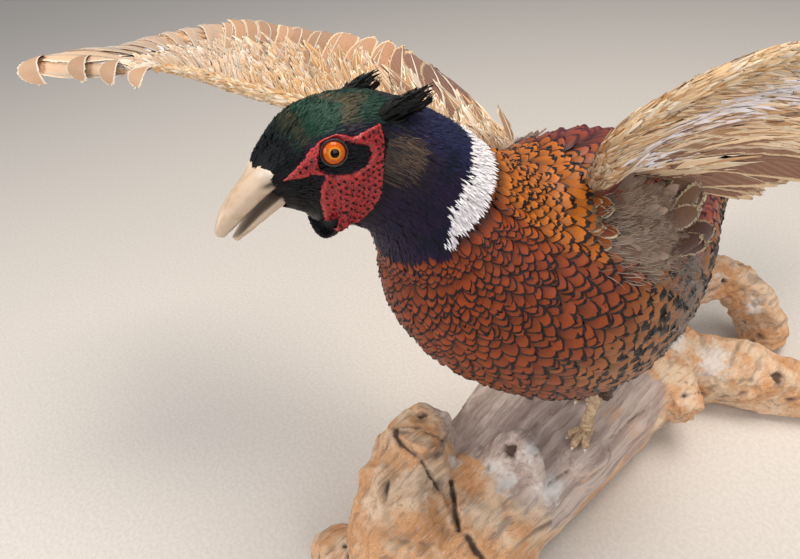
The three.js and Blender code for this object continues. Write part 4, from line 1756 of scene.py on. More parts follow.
    def covert_looks(self, share: Array, place: Array, face: int, dice: np.random.Generator) -> Array:
        """Colours the coverts.

        Args:
            share: Shares of the chord.
            place: Places along the wing.
            face: 1 above, -1 below.
            dice: Seeded chance.

        Returns:
            Twelve numbers for each feather.
        """
        near_body = ease(place, 2.6, 1.2)
        wrist = ease(place, 2.4, 4.2)
        edge = ease(share, 0.10, 0.03)
        if face > 0:
            return looks_of(
                [
                    (Plumage("#c08a4c", "#ead9ba", 0.08, 0.1, 0.0, 0.0, 0.8), 1.2 * ease(place, 1.0, 1.8) * (1 - wrist)),
                    (Plumage("#b5875a", "#ecdfc8", 0.12, 0.1, 0.0, 0.0, 0.9), 0.8 * near_body),
                    (Plumage("#8a5f3e", "#d8c3a4", 0.12, 0.1, 0.0, 0.0, 0.7), 0.5 * near_body),
                    (Plumage("#e6d8c6", "#efe7da", 0.1, 0.1, 0.0, 0.0, 0.3), wrist * 0.4 + 0.12),
                    (Plumage("#d2ab88", "#e8d4ba", 0.08, 0.1, 0.0, 0.0, 0.9), wrist * 1.0 + 0.25),
                ],
                dice,
                0.75,
            )
        lining = (1 - edge) * ease(share, 0.30, 0.22)
        rear = ease(share, 0.2, 0.3)
        return looks_of(
            [
                (Plumage("#c9935a", "#bd8a54", 0.1, 0.1), 0.5 * edge),
                (Plumage("#dfbd90", "#d6b084", 0.1, 0.1), 1.4 * edge),
                (Plumage("#ead8be", "#e2ccaa", 0.1, 0.1), 1.0 * edge),
                (Plumage("#f3edf2", "#faf6f8", 0.2), 2.0 * lining),
                (Plumage("#efcfa6", "#f6e2c4", 0.2), 0.7 * lining + 0.4 * near_body + 0.9 * rear),
                (Plumage("#bf8a58", "#d6a878", 0.2), 0.2 * lining + 0.3 * near_body + 0.5 * rear),
                (Plumage("#7d4f36", "#a9805c", 0.2), 0.04 * lining + 0.12 * near_body + 0.12 * rear),
            ],
            dice,
            0.9,
        )

    def coverts(self, face: int) -> bpy.types.Object:
        """Grows the coverts of one face in rows that lengthen from the leading edge back.

        Args:
            face: 1 above, -1 below.

        Returns:
            The piece.
        """
        dice = np.random.default_rng(61 + self.sign * 2 + face)
        form = WingForm(self.stations, self.sign, face)
        soft = face < 0
        close = 0.4 if soft else 0.62

        def exposure(share: Array, place: Array) -> Array:
            return np.interp(share, [0, 0.1, 0.2, 0.34], [3.2, 5.0, 7.5, 10.5]) + 0 * place

        rows = Rows(form, 0.004, 0.46 if soft else 0.36, -0.3, 8.0, exposure, lambda v, p: exposure(v, p) * close, 200, 0.3)
        share, place = rows.roots(dice)
        if not soft:
            # On the hand the upper coverts are short, so the primaries show almost to their roots.
            kept = share < np.interp(place, [0, 3.6, 5.0, 8.0], [0.36, 0.34, 0.15, 0.08])
            share, place = share[kept], place[kept]
        shown = exposure(share, place)
        n = len(share)
        sweep = np.interp(place, [0, 3, 5, 7, 8], [0.95, 0.8, 0.45, 0.05, -0.1] if soft else [0.7, 0.9, 0.7, 0.2, 0.0])
        plumes = Plumes(
            along=share,
            across=place,
            length=shown * dice.uniform(2.9, 3.7, n) * (1.5 if soft else 1.4),
            width=shown * (0.55 if soft else 0.72) * dice.uniform(0.8, 1.2, n),
            yaw=sweep + dice.normal(0, 0.13 if soft else 0.2, n),
            base=np.full(n, 0.2),
            rise=dice.uniform(0.4, 1.4, n) if soft else dice.uniform(0.7, 2.2, n),
            camber=shown * 0.1,
            roll=dice.normal(0, 0.25, n),
            ragged=0.25,
        )
        vane = Vane(across=2 if soft else 4, along=8, root=0.5, broadest=0.4, tip_power=1.6)
        coat = Coat(f"wing_{self.side}_{'upper' if face > 0 else 'under'}_coverts", form, vane, self.lining if soft else self.covert)
        coat.grow(plumes, self.covert_looks(share, place, face, dice), dice)
        return coat.piece()

    def tertial_bunch(self) -> bpy.types.Object:
        """Grows the loose, fringed innermost feathers that hang behind the wing's root."""
        dice = np.random.default_rng(69 + self.sign)
        n = 26
        place = np.linspace(5.75, 5.05, n) + dice.normal(0, 0.08, n)
        around = np.linspace(120, 150, n) + dice.normal(0, 3, n)
        plumes = Plumes(
            along=place, across=np.radians(270 - self.sign * around), length=dice.uniform(32, 46, n),
            width=dice.uniform(10, 14, n), yaw=dice.normal(-0.1 * self.sign, 0.2, n), base=np.full(n, 2.0),
            rise=dice.uniform(4, 15, n), camber=np.full(n, 3.0), roll=dice.normal(0, 1.5, n), ragged=0.16,
            curl=dice.normal(-3, 2, n),
        )
        coat = Coat(f"wing_{self.side}_tertial_bunch", BODY, Vane(8, 46, 0.35, 0.6, 2.6), self.covert)
        brown, pale = Plumage("#4f2f23", "#bfa684", 0.08, 0.1), Plumage("#84624b", "#d6c3a6", 0.12, 0.14)
        coat.grow(plumes, looks_of([(brown, np.full(n, 2.0)), (pale, np.ones(n))], dice, 0.9), dice)
        return coat.piece()

    def marginals(self) -> bpy.types.Object:
        """Grows the small feathers that wrap the leading edge, lying towards the wing's tip."""
        dice = np.random.default_rng(67 + self.sign)
        rows = np.array(self.stations, float)
        inwards = unit(rows[:, 3:6] - rows[:, 0:3])
        nose = 0.55 * rows[:, 6:7]
        middle = rows[:, 0:3] + inwards * nose
        form = RoundForm(
            tuple((*m, r + 0.6, r + 0.6, r + 0.6, 0.0) for m, (r,) in zip(middle.tolist(), nose.tolist())),
            lie=1.0,
        )
        size = Rows(form, 0.0, 7.9, 0, 2 * np.pi, lambda p, t: 3.0 + 0 * p, lambda p, t: 1.4 + 0 * p, 200, 0.3)
        place, turn = size.roots(dice)
        n = len(place)
        plumes = Plumes(
            along=place, across=turn, length=dice.uniform(9, 15, n), width=dice.uniform(1.2, 2.3, n),
            yaw=dice.normal(0, 0.15, n), base=np.full(n, 0.1), rise=dice.uniform(0.2, 1.3, n),
            camber=np.full(n, 0.4), roll=dice.normal(0, 0.2, n), ragged=0.2,
        )
        coat = Coat(f"wing_{self.side}_marginals", form, Vane(2, 6, 0.6, 0.4, 1.6), self.covert)
        coat.grow(plumes, self.covert_looks(np.zeros(n), place, -1, dice), dice)
        return coat.piece()


@dataclass
class Tail:
    """Eighteen long graded tail feathers, the middle pair on top."""

    vane: bpy.types.Material
    shaft: bpy.types.Material
    pairs: int = 9

    def pieces(self) -> list[bpy.types.Object]:
        """Grows both halves and their shafts.

        Returns:
            The pieces.
        """
        made = []
        for side, sign in SIDES:
            dice = np.random.default_rng(71)
            stations = tuple(
                (MIDLINE + sign * r[0], r[1], r[2], MIDLINE + sign * r[3], r[4], r[5], 0.0) for r in TAIL_HALF
            )
            form = WingForm(stations, sign, 1, depth=0.0, camber=0.0)
            n = self.pairs
            feather = np.arange(n) + 0.15
            place = feather * 4 / n
            ends = form.place(np.ones(n), place, np.zeros(n))
            chord = np.linalg.norm(ends - form.place(np.zeros(n), place, np.zeros(n)), axis=-1)
            length = chord * 0.99
            width = np.interp(feather, [0, 4, 9], [30, 26, 22])
            plumes = Plumes(
                along=np.zeros(n), across=place, length=length, width=width, yaw=np.zeros(n),
                base=1.6 - 0.35 * feather, rise=np.full(n, 0.4), camber=np.full(n, 1.6),
                roll=np.full(n, -0.9 * sign), ragged=0.04, gauge=np.full(n, 0.35),
            )
            looks = looks_of([(Plumage("#8d7a52", "#241a12", 0.0, 0.0, 0.0, 1.0, 0.4), np.ones(n))], dice)
            pattern = Vane(across=8, along=110, root=0.45, broadest=0.12, tip_power=0.95, crowd=1.0)
            coat = Coat(f"tail_{side}_feathers", form, pattern, self.vane, strips=True)
            coat.grow(plumes, looks, dice)
            vanes = coat.piece()
            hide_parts(f"tail_{side}")
            rods = Coat(f"tail_{side}_shafts", form, Vane(2, 60, 1.0, 0.01, 1.2, 1.0), self.shaft, strips=True)
            for face in (1, -1):
                rods.grow(
                    Plumes(
                        along=np.zeros(n), across=place, length=length * 0.97, width=np.full(n, 1.7),
                        yaw=np.zeros(n), base=plumes.base + 0.3 * face, rise=plumes.rise,
                        camber=np.full(n, 0.5 * face), roll=np.zeros(n), gauge=plumes.gauge,
                    ),
                    looks_of([(Plumage("#5b4630"), np.ones(n))], dice), dice,
                )
            made += [vanes, rods.piece()]
        return made



# ---------- legs ----------


@dataclass(frozen=True)
class LegScales:
    """Leg scutes: dry horn plates with darker seams, dusty from age."""

    name: str = "leg_scales"

    def material(self) -> bpy.types.Material:
        """Builds the material, which reads the seams from the mesh.

        Returns:
            The material.
        """
        material, tree, shader = new_material(self.name, 0.55)
        spot = add_node(tree, "TexCoord").outputs["Object"]
        seam = add_node(tree, "SeparateXYZ", {0: add_node(tree, "Attribute", attribute_name="grain").outputs[0]})
        dust = add_node(tree, "TexNoise", {"Vector": spot, "Scale": 300.0, "Detail": 3.0})
        tone = mixed(tree, stepped(tree, dust.outputs[0], 0.35, 0.7), linear("#a98a6b"), linear("#c9b08f"))
        tone = mixed(tree, stepped(tree, seam.outputs[0], 0.1, 0.9, (0.0, 0.8)), tone, linear("#5e4634"))
        tree.links.new(tone, shader.inputs["Base Color"])
        bump = add_node(tree, "Bump", {"Strength": 0.3, "Distance": 0.0003, "Height": dust.outputs[0]})
        tree.links.new(bump.outputs[0], shader.inputs["Normal"])
        return material


@dataclass
class Leg:
    """One leg below the hock: a scaly shank, four clenched toes and their claws."""

    side: str
    sign: int
    hock_y: float
    ground: float
    scales: bpy.types.Material
    horn: bpy.types.Material
    out: float = 13.0
    scute: float = 3.3
    toes: tuple = ((-34, 15), (0, 18), (32, 15), (186, 12))

    def limb(self, name: str, stations: tuple, above: tuple, finish: bpy.types.Material, scuted: bool) -> bpy.types.Object:
        """Builds one rounded limb with scutes across it.

        Args:
            name: The piece's name.
            stations: Its line.
            above: The direction that its section's top faces.
            finish: Its material.
            scuted: Whether it has scutes.

        Returns:
            The piece.
        """
        form = RoundForm(stations, above=above)
        end = len(stations) - 1.0
        spans = np.linalg.norm(np.diff(np.array(stations, float)[:, :3], axis=0), axis=1)
        length = float(spans.sum())
        seams = {}

        def shape(across: Array, along: Array) -> Array:
            turn = across * 2 * np.pi
            flat = form.place(along * end, turn, np.zeros_like(along))
            slant = 0.25 * np.sin(turn)
            beat = (along * length / self.scute + slant) % 1.0
            plate = (beat**0.5) * 0.55 - 0.25
            net = np.array([noise.voronoi(Vector(p) / 1.7)[0][:2] for p in flat])
            seam = 1 - np.clip((net[:, 1] - net[:, 0]) / 0.3, 0, 1)
            front = ease(np.abs(np.sin(turn)), 0.25, 0.6)
            height = front * plate + (1 - front) * (0.15 - 0.35 * seam) if scuted else np.zeros_like(along)
            seams["dark"] = front * ease(beat, 0.16, 0.0) + (1 - front) * seam * 0.8
            closed = np.sqrt(np.clip(1 - ((along - 0.94) / 0.06).clip(0, 1) ** 2, 0, 1))
            points = form.place(along * end, turn, height)
            axis = form.place(along * end, np.zeros_like(turn), np.full_like(turn, -60.0))
            return axis + (points - axis) * closed[:, None]

        columns, rows = 26, max(10, int(length / 0.75))
        mesh = sheet_mesh(name, columns, rows, shape)
        layer = mesh.attributes.new("grain", "FLOAT_COLOR", "POINT")
        share = mesh.uv_layers["Sheet"].data
        table = seams["dark"].reshape(rows + 1, columns + 1) if scuted else None
        for loop in mesh.loops:
            if scuted:
                u, v = share[loop.index].uv
                value = table[min(rows, round(v * rows)), min(columns, round(u * columns))]
                layer.data[loop.vertex_index].color = (value, value, value, 1.0)
        piece = as_object(name, mesh, finish)
        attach(piece, "root")
        return piece

    def pieces(self) -> list[bpy.types.Object]:
        """Builds the shank, the toes and the claws.

        Returns:
            The pieces.
        """
        x = MIDLINE + self.sign * self.out
        y = self.hock_y - 14
        top = (MIDLINE + self.sign * 16, self.hock_y, 170)
        shank = (
            (*top, 4.4, 4.8, 4.8, 0),
            ((top[0] + x) / 2, (top[1] + y) / 2 + 3, (170 + self.ground) / 2 + 16, 4.3, 4.6, 4.6, 0),
            (x, y + 3, self.ground + 30, 5.0, 5.2, 5.2, 0),
            (x, y, self.ground + 10, 6.0, 6.2, 6.2, 0),
            (x, y, self.ground + 2.0, 5.6, 5.8, 5.8, 0),
        )
        made = [self.limb(f"shank_{self.side}", shank, (0, 1, 0), self.scales, True)]
        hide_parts(f"foot_{self.side}")
        for n, (angle, reach) in enumerate(self.toes):
            heading = math.radians(angle)
            way = (self.sign * math.sin(heading), -math.cos(heading))
            spots = ((0.0, 9.0), (0.45, 10.2), (0.85, 8.4), (1.0, 5.0), (0.86, 2.0))
            sizes = (4.0, 3.7, 3.3, 2.8, 2.0)
            toe = tuple(
                (x + way[0] * reach * s, y + way[1] * reach * s, self.ground + z, r, r, r, 0)
                for (s, z), r in zip(spots, sizes)
            )
            made.append(self.limb(f"toe_{self.side}_{n}", toe, (way[1], -way[0], 0), self.scales, True))
            tips = ((0.98, 3.6, 1.7), (1.12, 2.6, 1.35), (1.2, 0.4, 0.4))
            claw = tuple(
                (x + way[0] * reach * s, y + way[1] * reach * s, self.ground + z, r, r, r, 0) for s, z, r in tips
            )
            made.append(self.limb(f"claw_{self.side}_{n}", claw, (way[1], -way[0], 0), self.horn, False))
        LOG.info("leg_%s: %d pieces", self.side, len(made))
        return made


# Thigh stations off the body's middle, forward of the hock, and up.
THIGH = (
    (26, -14, 250, 25, 34, 34, 3.0),
    (23, -8, 212, 19, 26, 25, 2.6),
    (19, -4, 180, 11, 13, 13, 2.0),
    (16, 0, 152, 6.5, 7.0, 7.0, 1.4),
)
HOCK_Y = {"left": 22.0, "right": 66.0}
GROUND = {"left": 104.0, "right": 106.0}


@dataclass
class ThighCoat:
    """Soft feathers that cover the thighs down to the hock."""

    finish: bpy.types.Material

    def piece(self, side: str, sign: int) -> bpy.types.Object:
        """Grows one thigh's feathers.

        Args:
            side: The side's name.
            sign: The side of the body.

        Returns:
            The piece.
        """
        dice = np.random.default_rng(83)
        stations = tuple((MIDLINE + sign * r[0], r[1] + HOCK_Y[side], *r[2:]) for r in THIGH)
        form = RoundForm(stations, above=(0, 1, 0), lie=1.0)

        def exposure(place: Array, turn: Array) -> Array:
            return np.interp(place, [0, 3], [8, 4.5]) + 0 * turn

        rows = Rows(form, 0.05, 2.75, 0, 2 * np.pi, exposure, exposure, 160, 0.25)
        place, turn = rows.roots(dice)
        shown = exposure(place, turn)
        n = len(place)
        plumes = Plumes(
            along=place, across=turn, length=shown * dice.uniform(2.6, 3.4, n), width=shown * 1.5,
            yaw=dice.normal(0, 0.15, n), base=np.full(n, 0.1), rise=dice.uniform(1.2, 3.0, n),
            camber=shown * 0.12, roll=dice.normal(0, 0.3, n), ragged=0.15,
        )
        coat = Coat(f"thigh_{side}_coat", form, Vane(4, 6, 0.5, 0.5, 2.0), self.finish)
        looks = looks_of([(Plumage("#5a3a28", "#2a1b15", 0.2, 0.1), np.ones(n)), (Plumage("#8a6a4c", "#4a3426", 0.2, 0.1), 0.5 * np.ones(n))], dice, 0.8)
        coat.grow(plumes, looks, dice)
        piece = coat.piece()
        return piece


@dataclass
class Down:
    """Loose barbs: grey-brown down on the flanks and in the wing pits, hairs behind the eyes."""

    finish: bpy.types.Material

    def strands(
        self, name: str, place: Array, around: Array, sign: int, size: tuple, looks: tuple, seed: int,
        lift: tuple = (1.0, 5.0), stray: float = 1.0,
    ) -> bpy.types.Object:
        """Grows thin curved strands on one side of the body.

        Args:
            name: The piece's name.
            place: Places of their roots along the body line.
            around: Angles of their roots from the middle of the belly, in degrees.
            sign: The side of the body.
            size: The shortest and longest length, and the width.
            looks: Plumages to pick from.
            seed: The seed of their chance.
            lift: The least and most height of their tips.
            stray: How far they stray from the lie.

        Returns:
            The piece.
        """
        dice = np.random.default_rng(seed)
        n = len(place)
        turn = np.radians(270 - sign * around)
        plumes = Plumes(
            along=place, across=turn, length=dice.uniform(size[0], size[1], n),
            width=size[2] * dice.uniform(0.7, 1.3, n), yaw=dice.normal(0, 0.35 * stray, n), base=np.full(n, 0.4),
            rise=dice.uniform(*lift, n), camber=np.zeros(n), roll=np.zeros(n),
            curl=dice.normal(0, 1.2 * stray, n), sway=dice.normal(0, 0.5 * stray, n),
        )
        coat = Coat(name, BODY, Vane(1, 5, 1.0, 0.1, 0.9, 1.0), self.finish)
        coat.grow(plumes, looks_of([(p, np.ones(n)) for p in looks], dice, 1.0), dice)
        return coat.piece()

    def semiplumes(self, side: str, sign: int) -> bpy.types.Object:
        """Grows the soft frayed feathers that fill the pit of one wing.

        Args:
            side: The side's name.
            sign: The side of the body.

        Returns:
            The piece.
        """
        dice, n = np.random.default_rng(105 + sign), 260
        place, around = 5.97 + 0.24 * dice.normal(0, 1, n).clip(-1.7, 2), 128 + 7 * dice.normal(0, 1, n).clip(-1.5, 2)
        plumes = Plumes(
            along=place, across=np.radians(270 - sign * around), length=dice.uniform(14, 24, n),
            width=dice.uniform(5, 8, n), yaw=dice.normal(0, 0.25, n), base=np.full(n, 1.0),
            rise=dice.uniform(3, 6, n), camber=np.full(n, 1.2), roll=dice.normal(0, 0.5, n), ragged=0.1,
            curl=dice.normal(0, 1.0, n),
        )
        coat = Coat(f"wing_pit_semiplumes_{side}", BODY, Vane(4, 12, 0.4, 0.5, 2.2), self.finish)
        greys = [Plumage(ground, ground) for ground in ("#8a7363", "#a18a78", "#654a3a", "#76604f")]
        coat.grow(plumes, looks_of([(grey, np.ones(n)) for grey in greys], dice, 1.0), dice)
        return coat.piece()

    def pieces(self) -> list[bpy.types.Object]:
        """Grows every patch of down.

        Returns:
            The pieces.
        """
        grey = tuple(Plumage(c, c) for c in ("#8d8078", "#a79c94", "#6f625a", "#9a8672"))
        brown = tuple(Plumage(c, c) for c in ("#5a4434", "#2e2420", "#7a624e", "#3c2e26"))
        pale = tuple(Plumage(c, c) for c in ("#b3a495", "#9f8b79", "#7f6552", "#8f7a69", "#a98f78"))
        made = []
        for side, sign in SIDES:
            dice = np.random.default_rng(91 + sign)
            step = dice.uniform(0, 1, 4200)
            place = 5.35 - 0.75 * step + dice.normal(0, 0.13, 4200)
            around = 122 - 50 * step + dice.normal(0, 4, 4200)
            made.append(self.strands(f"flank_down_{side}", place, around, sign, (8, 17, 0.5), grey, 97 + sign))
            made.append(self.semiplumes(side, sign))
            place, around = 5.8 + dice.normal(0, 0.27, 4600), 126 + dice.normal(0, 7, 4600)
            fluff = self.strands(f"wing_pit_down_{side}", place, around, sign, (5, 11, 0.4), pale, 99 + sign, (3, 8), 0.5)
            made.append(fluff)
            place, around = dice.uniform(9.72, 10.14, 900), 95 + dice.normal(0, 9, 900)
            hairs = self.strands(f"ear_coverts_{side}", place, around, sign, (6, 10, 0.3), brown, 101 + sign, (0.6, 1.4), 0.3)
            made.append(hairs)
        return made


# ---------- driftwood ----------


@dataclass(frozen=True)
class WeatheredWood:
    """Driftwood: bare heartwood, sea-worn smooth, silvered where the sun bleached it."""

    name: str = "weathered_driftwood"
    heart: str = "#d39c6b"
    cream: str = "#e0c4a6"
    silver: str = "#d3c0b5"
    slate: str = "#ac958b"
    chalk: str = "#e4dfda"
    # This colour is the painted shade in splits, knots and hollows.
    crack_shade: str = "#4a3528"

    def material(self) -> bpy.types.Material:
        """Builds the material, which reads patches and the painted shade of its splits from the mesh.

        Returns:
            The material.
        """
        material, tree, shader = new_material(self.name, 0.75)
        spot = add_node(tree, "TexCoord").outputs["Object"]
        grain = add_node(tree, "SeparateXYZ", {0: add_node(tree, "Attribute", attribute_name="grain").outputs[0]})
        warped = add_node(tree, "TexNoise", {"Vector": spot, "Scale": 11.0, "Detail": 3.0})
        lean = add_node(tree, "VectorMath", {0: warped.outputs[1], 1: (0.022, 0.05, 0.022)}, operation="MULTIPLY")
        bent = add_node(tree, "VectorMath", {0: spot, 1: lean.outputs[0]}, operation="ADD")

        def fibres(across: float, along: float, detail: float) -> object:
            """Draws noise out along the log, with its scales per metre."""
            drawn = add_node(tree, "Mapping", {0: bent.outputs[0]})
            drawn.inputs["Scale"].default_value = (across, along, across)
            return add_node(tree, "TexNoise", {"Vector": drawn.outputs[0], "Scale": 1.0, "Detail": detail}).outputs[0]

        fine, streak, broad = fibres(760.0, 18.0, 4.0), fibres(230.0, 8.0, 5.0), fibres(70.0, 6.0, 4.0)
        blotch = add_node(tree, "TexNoise", {"Vector": spot, "Scale": 30.0, "Detail": 6.0, "Roughness": 0.6}).outputs[0]
        speck = add_node(tree, "TexNoise", {"Vector": spot, "Scale": 210.0, "Detail": 4.0}).outputs[0]
        warm = mixed(tree, stepped(tree, blotch, 0.38, 0.62), linear(self.heart), linear(self.cream))
        warm = mixed(tree, stepped(tree, speck, 0.58, 0.75, (0.0, 0.5)), warm, linear("#a8683a"))
        cool = mixed(tree, stepped(tree, broad, 0.38, 0.62), linear(self.slate), linear(self.silver))
        share = worked(tree, "ADD", grain.outputs[0], worked(tree, "MULTIPLY_ADD", streak, 0.7, -0.35))
        tone = mixed(tree, stepped(tree, share, 0.36, 0.62), warm, cool)
        tone = mixed(tree, stepped(tree, streak, 0.5, 0.66, (0.0, 0.42)), tone, linear("#7d6658"))
        tone = mixed(tree, stepped(tree, fine, 0.58, 0.72, (0.0, 0.34)), tone, linear("#6a5444"))
        tone = mixed(tree, stepped(tree, fine, 0.44, 0.3, (0.0, 0.35)), tone, linear(self.chalk))
        rough = worked(tree, "ADD", worked(tree, "MULTIPLY", speck, 0.9), worked(tree, "MULTIPLY", streak, 0.9))
        chalk = worked(tree, "ADD", grain.outputs[2], worked(tree, "SUBTRACT", rough, 0.9))
        tone = mixed(tree, stepped(tree, chalk, 0.25, 0.75, (0.0, 0.8)), tone, linear(self.chalk))
        # Partly painted shade and partly wear: a grey-brown tone round the splits, knots and hollows, and on the finest
        # fibres.
        worn = worked(tree, "MULTIPLY_ADD", fine, 0.5, worked(tree, "SUBTRACT", grain.outputs[1], 0.25))
        tone = mixed(tree, stepped(tree, worn, 0.05, 0.35, (0.0, 0.5)), tone, linear("#8d7c70"))
        # Painted shade: splits, knots and hollows turn dark brown, darkest where deepest.
        tone = mixed(tree, stepped(tree, grain.outputs[1], 0.3, 1.0, (0.0, 0.92)), tone, linear(self.crack_shade))
        tree.links.new(tone, shader.inputs["Base Color"])
        height = worked(tree, "MULTIPLY_ADD", streak, 0.6, worked(tree, "MULTIPLY", fine, 0.35))
        bump = add_node(tree, "Bump", {"Strength": 1.0, "Distance": 0.0022, "Height": height})
        tree.links.new(bump.outputs[0], shader.inputs["Normal"])
        return material


@dataclass
class Driftwood:
    """The log, its burl, stub and roots, worn smooth and split along the grain."""

    nodes: dict
    finish: bpy.types.Material
    voxel: float = 0.0022
    # Each split is its half width, its depth and its line over the wood.
    splits: tuple = (
        (1.5, 5.0, ((-82, -115, 129), (-77, -121, 128), (-68, -123, 127), (-55, -121, 126), (-43, -120, 123),
                    (-35, -119, 115), (-28, -120, 108), (-24, -120, 104))),
        (2.2, 6.0, ((-28, -105, 95), (-16, -114, 93), (-6, -124, 90), (4, -130, 87))),
        (2.4, 6.0, ((13, -129, 87), (22, -132, 84), (30, -131, 79), (42, -136, 60))),
        (1.0, 2.5, ((-63, -99, 128), (-55, -98, 126), (-50, -90, 117))),
        (0.9, 1.8, ((-65, -80, 124), (-61, -70, 113), (-60, -56, 95))),
        (1.4, 3.0, ((-47, -163, 112), (-57, -150, 118), (-52, -135, 121))),
        (1.2, 2.5, ((-20, -173, 96), (-8, -160, 92), (8, -152, 84))),
        (1.0, 2.5, ((-75, -195, 52), (-58, -202, 56), (-40, -204, 60))),
        (1.2, 3.0, ((30, -60, 93), (38, -20, 92), (44, 30, 90), (50, 90, 84))),
        (1.0, 2.0, ((-10, -30, 105), (-4, 10, 106), (2, 60, 104), (14, 120, 98))),
        (1.6, 4.0, ((60, 120, 84), (78, 160, 74), (92, 200, 60))),
        (1.6, 4.0, ((20, 250, 112), (34, 280, 108), (46, 310, 92))),
        (1.4, 3.0, ((100, 215, 70), (118, 235, 62), (132, 246, 48))),
    )
    # Knots, rot holes and chalky places: x, y, z and radius.
    knots: tuple = (
        (-81, -86, 124, 3.4), (-71, -100, 127, 2.0), (-2, -58, 118, 6.5), (-72, -195, 51, 4), (-64, -176, 90, 3),
        (62, 150, 84, 4), (118, 238, 62, 5), (30, 300, 104, 5),
    )
    chalk: tuple = (
        (-39, -92, 98, 9), (15, -50, 122, 12), (-6, -74, 101, 11), (8, -74, 99, 12), (34, -50, 90, 14),
        (20, 190, 92, 26), (60, 210, 70, 22), (30, 290, 112, 16), (60, 320, 70, 14),
    )
    stub: tuple = ((24, -54, 88), (16, -49, 125), 11.0, 7.5)

    def piece(self) -> bpy.types.Object:
        """Melts the node's facets, then wears lumps, grooves and cracks into the wood.

        Returns:
            The piece.
        """
        shape = bmesh.new()
        shape.from_mesh(self.nodes["driftwood"].data)
        bmesh.ops.remove_doubles(shape, verts=shape.verts, dist=0.00001)
        foot, top, wide, narrow = self.stub
        way = Vector(top) - Vector(foot)
        turn = Matrix.Translation((Vector(foot) + way / 2) * MM) @ way.to_track_quat("Z", "Y").to_matrix().to_4x4()
        bmesh.ops.create_cone(
            shape, cap_ends=True, segments=20, radius1=wide * MM, radius2=narrow * MM, depth=way.length * MM, matrix=turn,
        )
        mesh = bpy.data.meshes.new("driftwood_log")
        shape.to_mesh(mesh)
        shape.free()
        piece = as_object("driftwood_log", mesh, self.finish)
        remesh = piece.modifiers.new("melt", "REMESH")
        remesh.mode, remesh.voxel_size = "VOXEL", self.voxel
        melted = bpy.data.meshes.new_from_object(piece.evaluated_get(bpy.context.evaluated_depsgraph_get()))
        piece.modifiers.clear()
        wood = bmesh.new()
        wood.from_mesh(melted)
        for _ in range(8):
            bmesh.ops.smooth_vert(wood, verts=wood.verts, factor=0.5, use_axis_x=True, use_axis_y=True, use_axis_z=True)
        wood.normal_update()
        spots = np.array([vert.co for vert in wood.verts]) / MM
        dark, chalk = self.damage(spots)
        grain = [self.worn(vert, *pair) for vert, pair in zip(wood.verts, zip(dark.tolist(), chalk.tolist()))]
        bmesh.ops.triangulate(wood, faces=wood.faces)
        wood.to_mesh(mesh)
        wood.free()
        bpy.data.meshes.remove(melted)
        layer = mesh.attributes.new("grain", "FLOAT_COLOR", "POINT")
        layer.data.foreach_set("color", np.array(grain, np.float32).reshape(-1))
        mesh.polygons.foreach_set("use_smooth", np.ones(len(mesh.polygons), bool))
        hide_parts("driftwood")
        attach(piece, "root")
        LOG.info("driftwood: %d faces", len(mesh.polygons))
        return piece

    def damage(self, spots: Array) -> tuple[Array, Array]:
        """Finds how deep in a split or knot each point is, and how chalky.

        Args:
            spots: Points on the wood, in millimetres.

        Returns:
            Depths in millimetres, and chalk from 0 to 1.
        """
        depth = np.zeros(len(spots))
        wave = np.array([noise.noise(Vector(p) * 0.12) + 0.5 * noise.noise(Vector(p) * 0.35) for p in spots]) * 2.2
        for half, deep, line in self.splits:
            corners = np.array(line, float)
            for a, b in zip(corners, corners[1:]):
                share = np.clip((spots - a) @ (b - a) / ((b - a) @ (b - a)), 0, 1)
                apart = np.linalg.norm(spots - a - share[:, None] * (b - a), axis=-1)
                depth = np.maximum(depth, 0.8 * deep * ease(apart + wave * 0.55, half * 1.9, 0.0) ** 1.3)
        for *middle, radius in self.knots:
            apart = np.linalg.norm(spots - np.array(middle), axis=-1) + 2.2 * wave
            depth = np.maximum(depth, 0.8 * radius * ease(apart, radius * 1.2, radius * 0.3))
        chalk = np.zeros(len(spots))
        for *middle, radius in self.chalk:
            apart = np.linalg.norm(spots - np.array(middle), axis=-1) + 2 * wave
            chalk = np.maximum(chalk, 1 - np.clip(apart / (1.5 * radius), 0, 1))
        return depth, chalk

    def worn(self, vert: bmesh.types.BMVert, dark: float, chalk: float) -> tuple[float, float, float, float]:
        """Moves one vertex by lumps, grooves and damage.

        Args:
            vert: The vertex, in metres.
            dark: How deep in a split it is, in millimetres.
            chalk: How chalky the wood is there.

        Returns:
            How silvered, how much painted shade its splits, knots and hollows give it, and how chalky the wood is
            there, and one.
        """
        p = vert.co / MM
        drift = noise.noise_vector(p * 0.012) * 30
        q = p + drift
        lump = noise.noise(p * 0.016) * 5.0 + noise.noise(p * 0.037 + Vector((7, 1, 3))) * 3.0
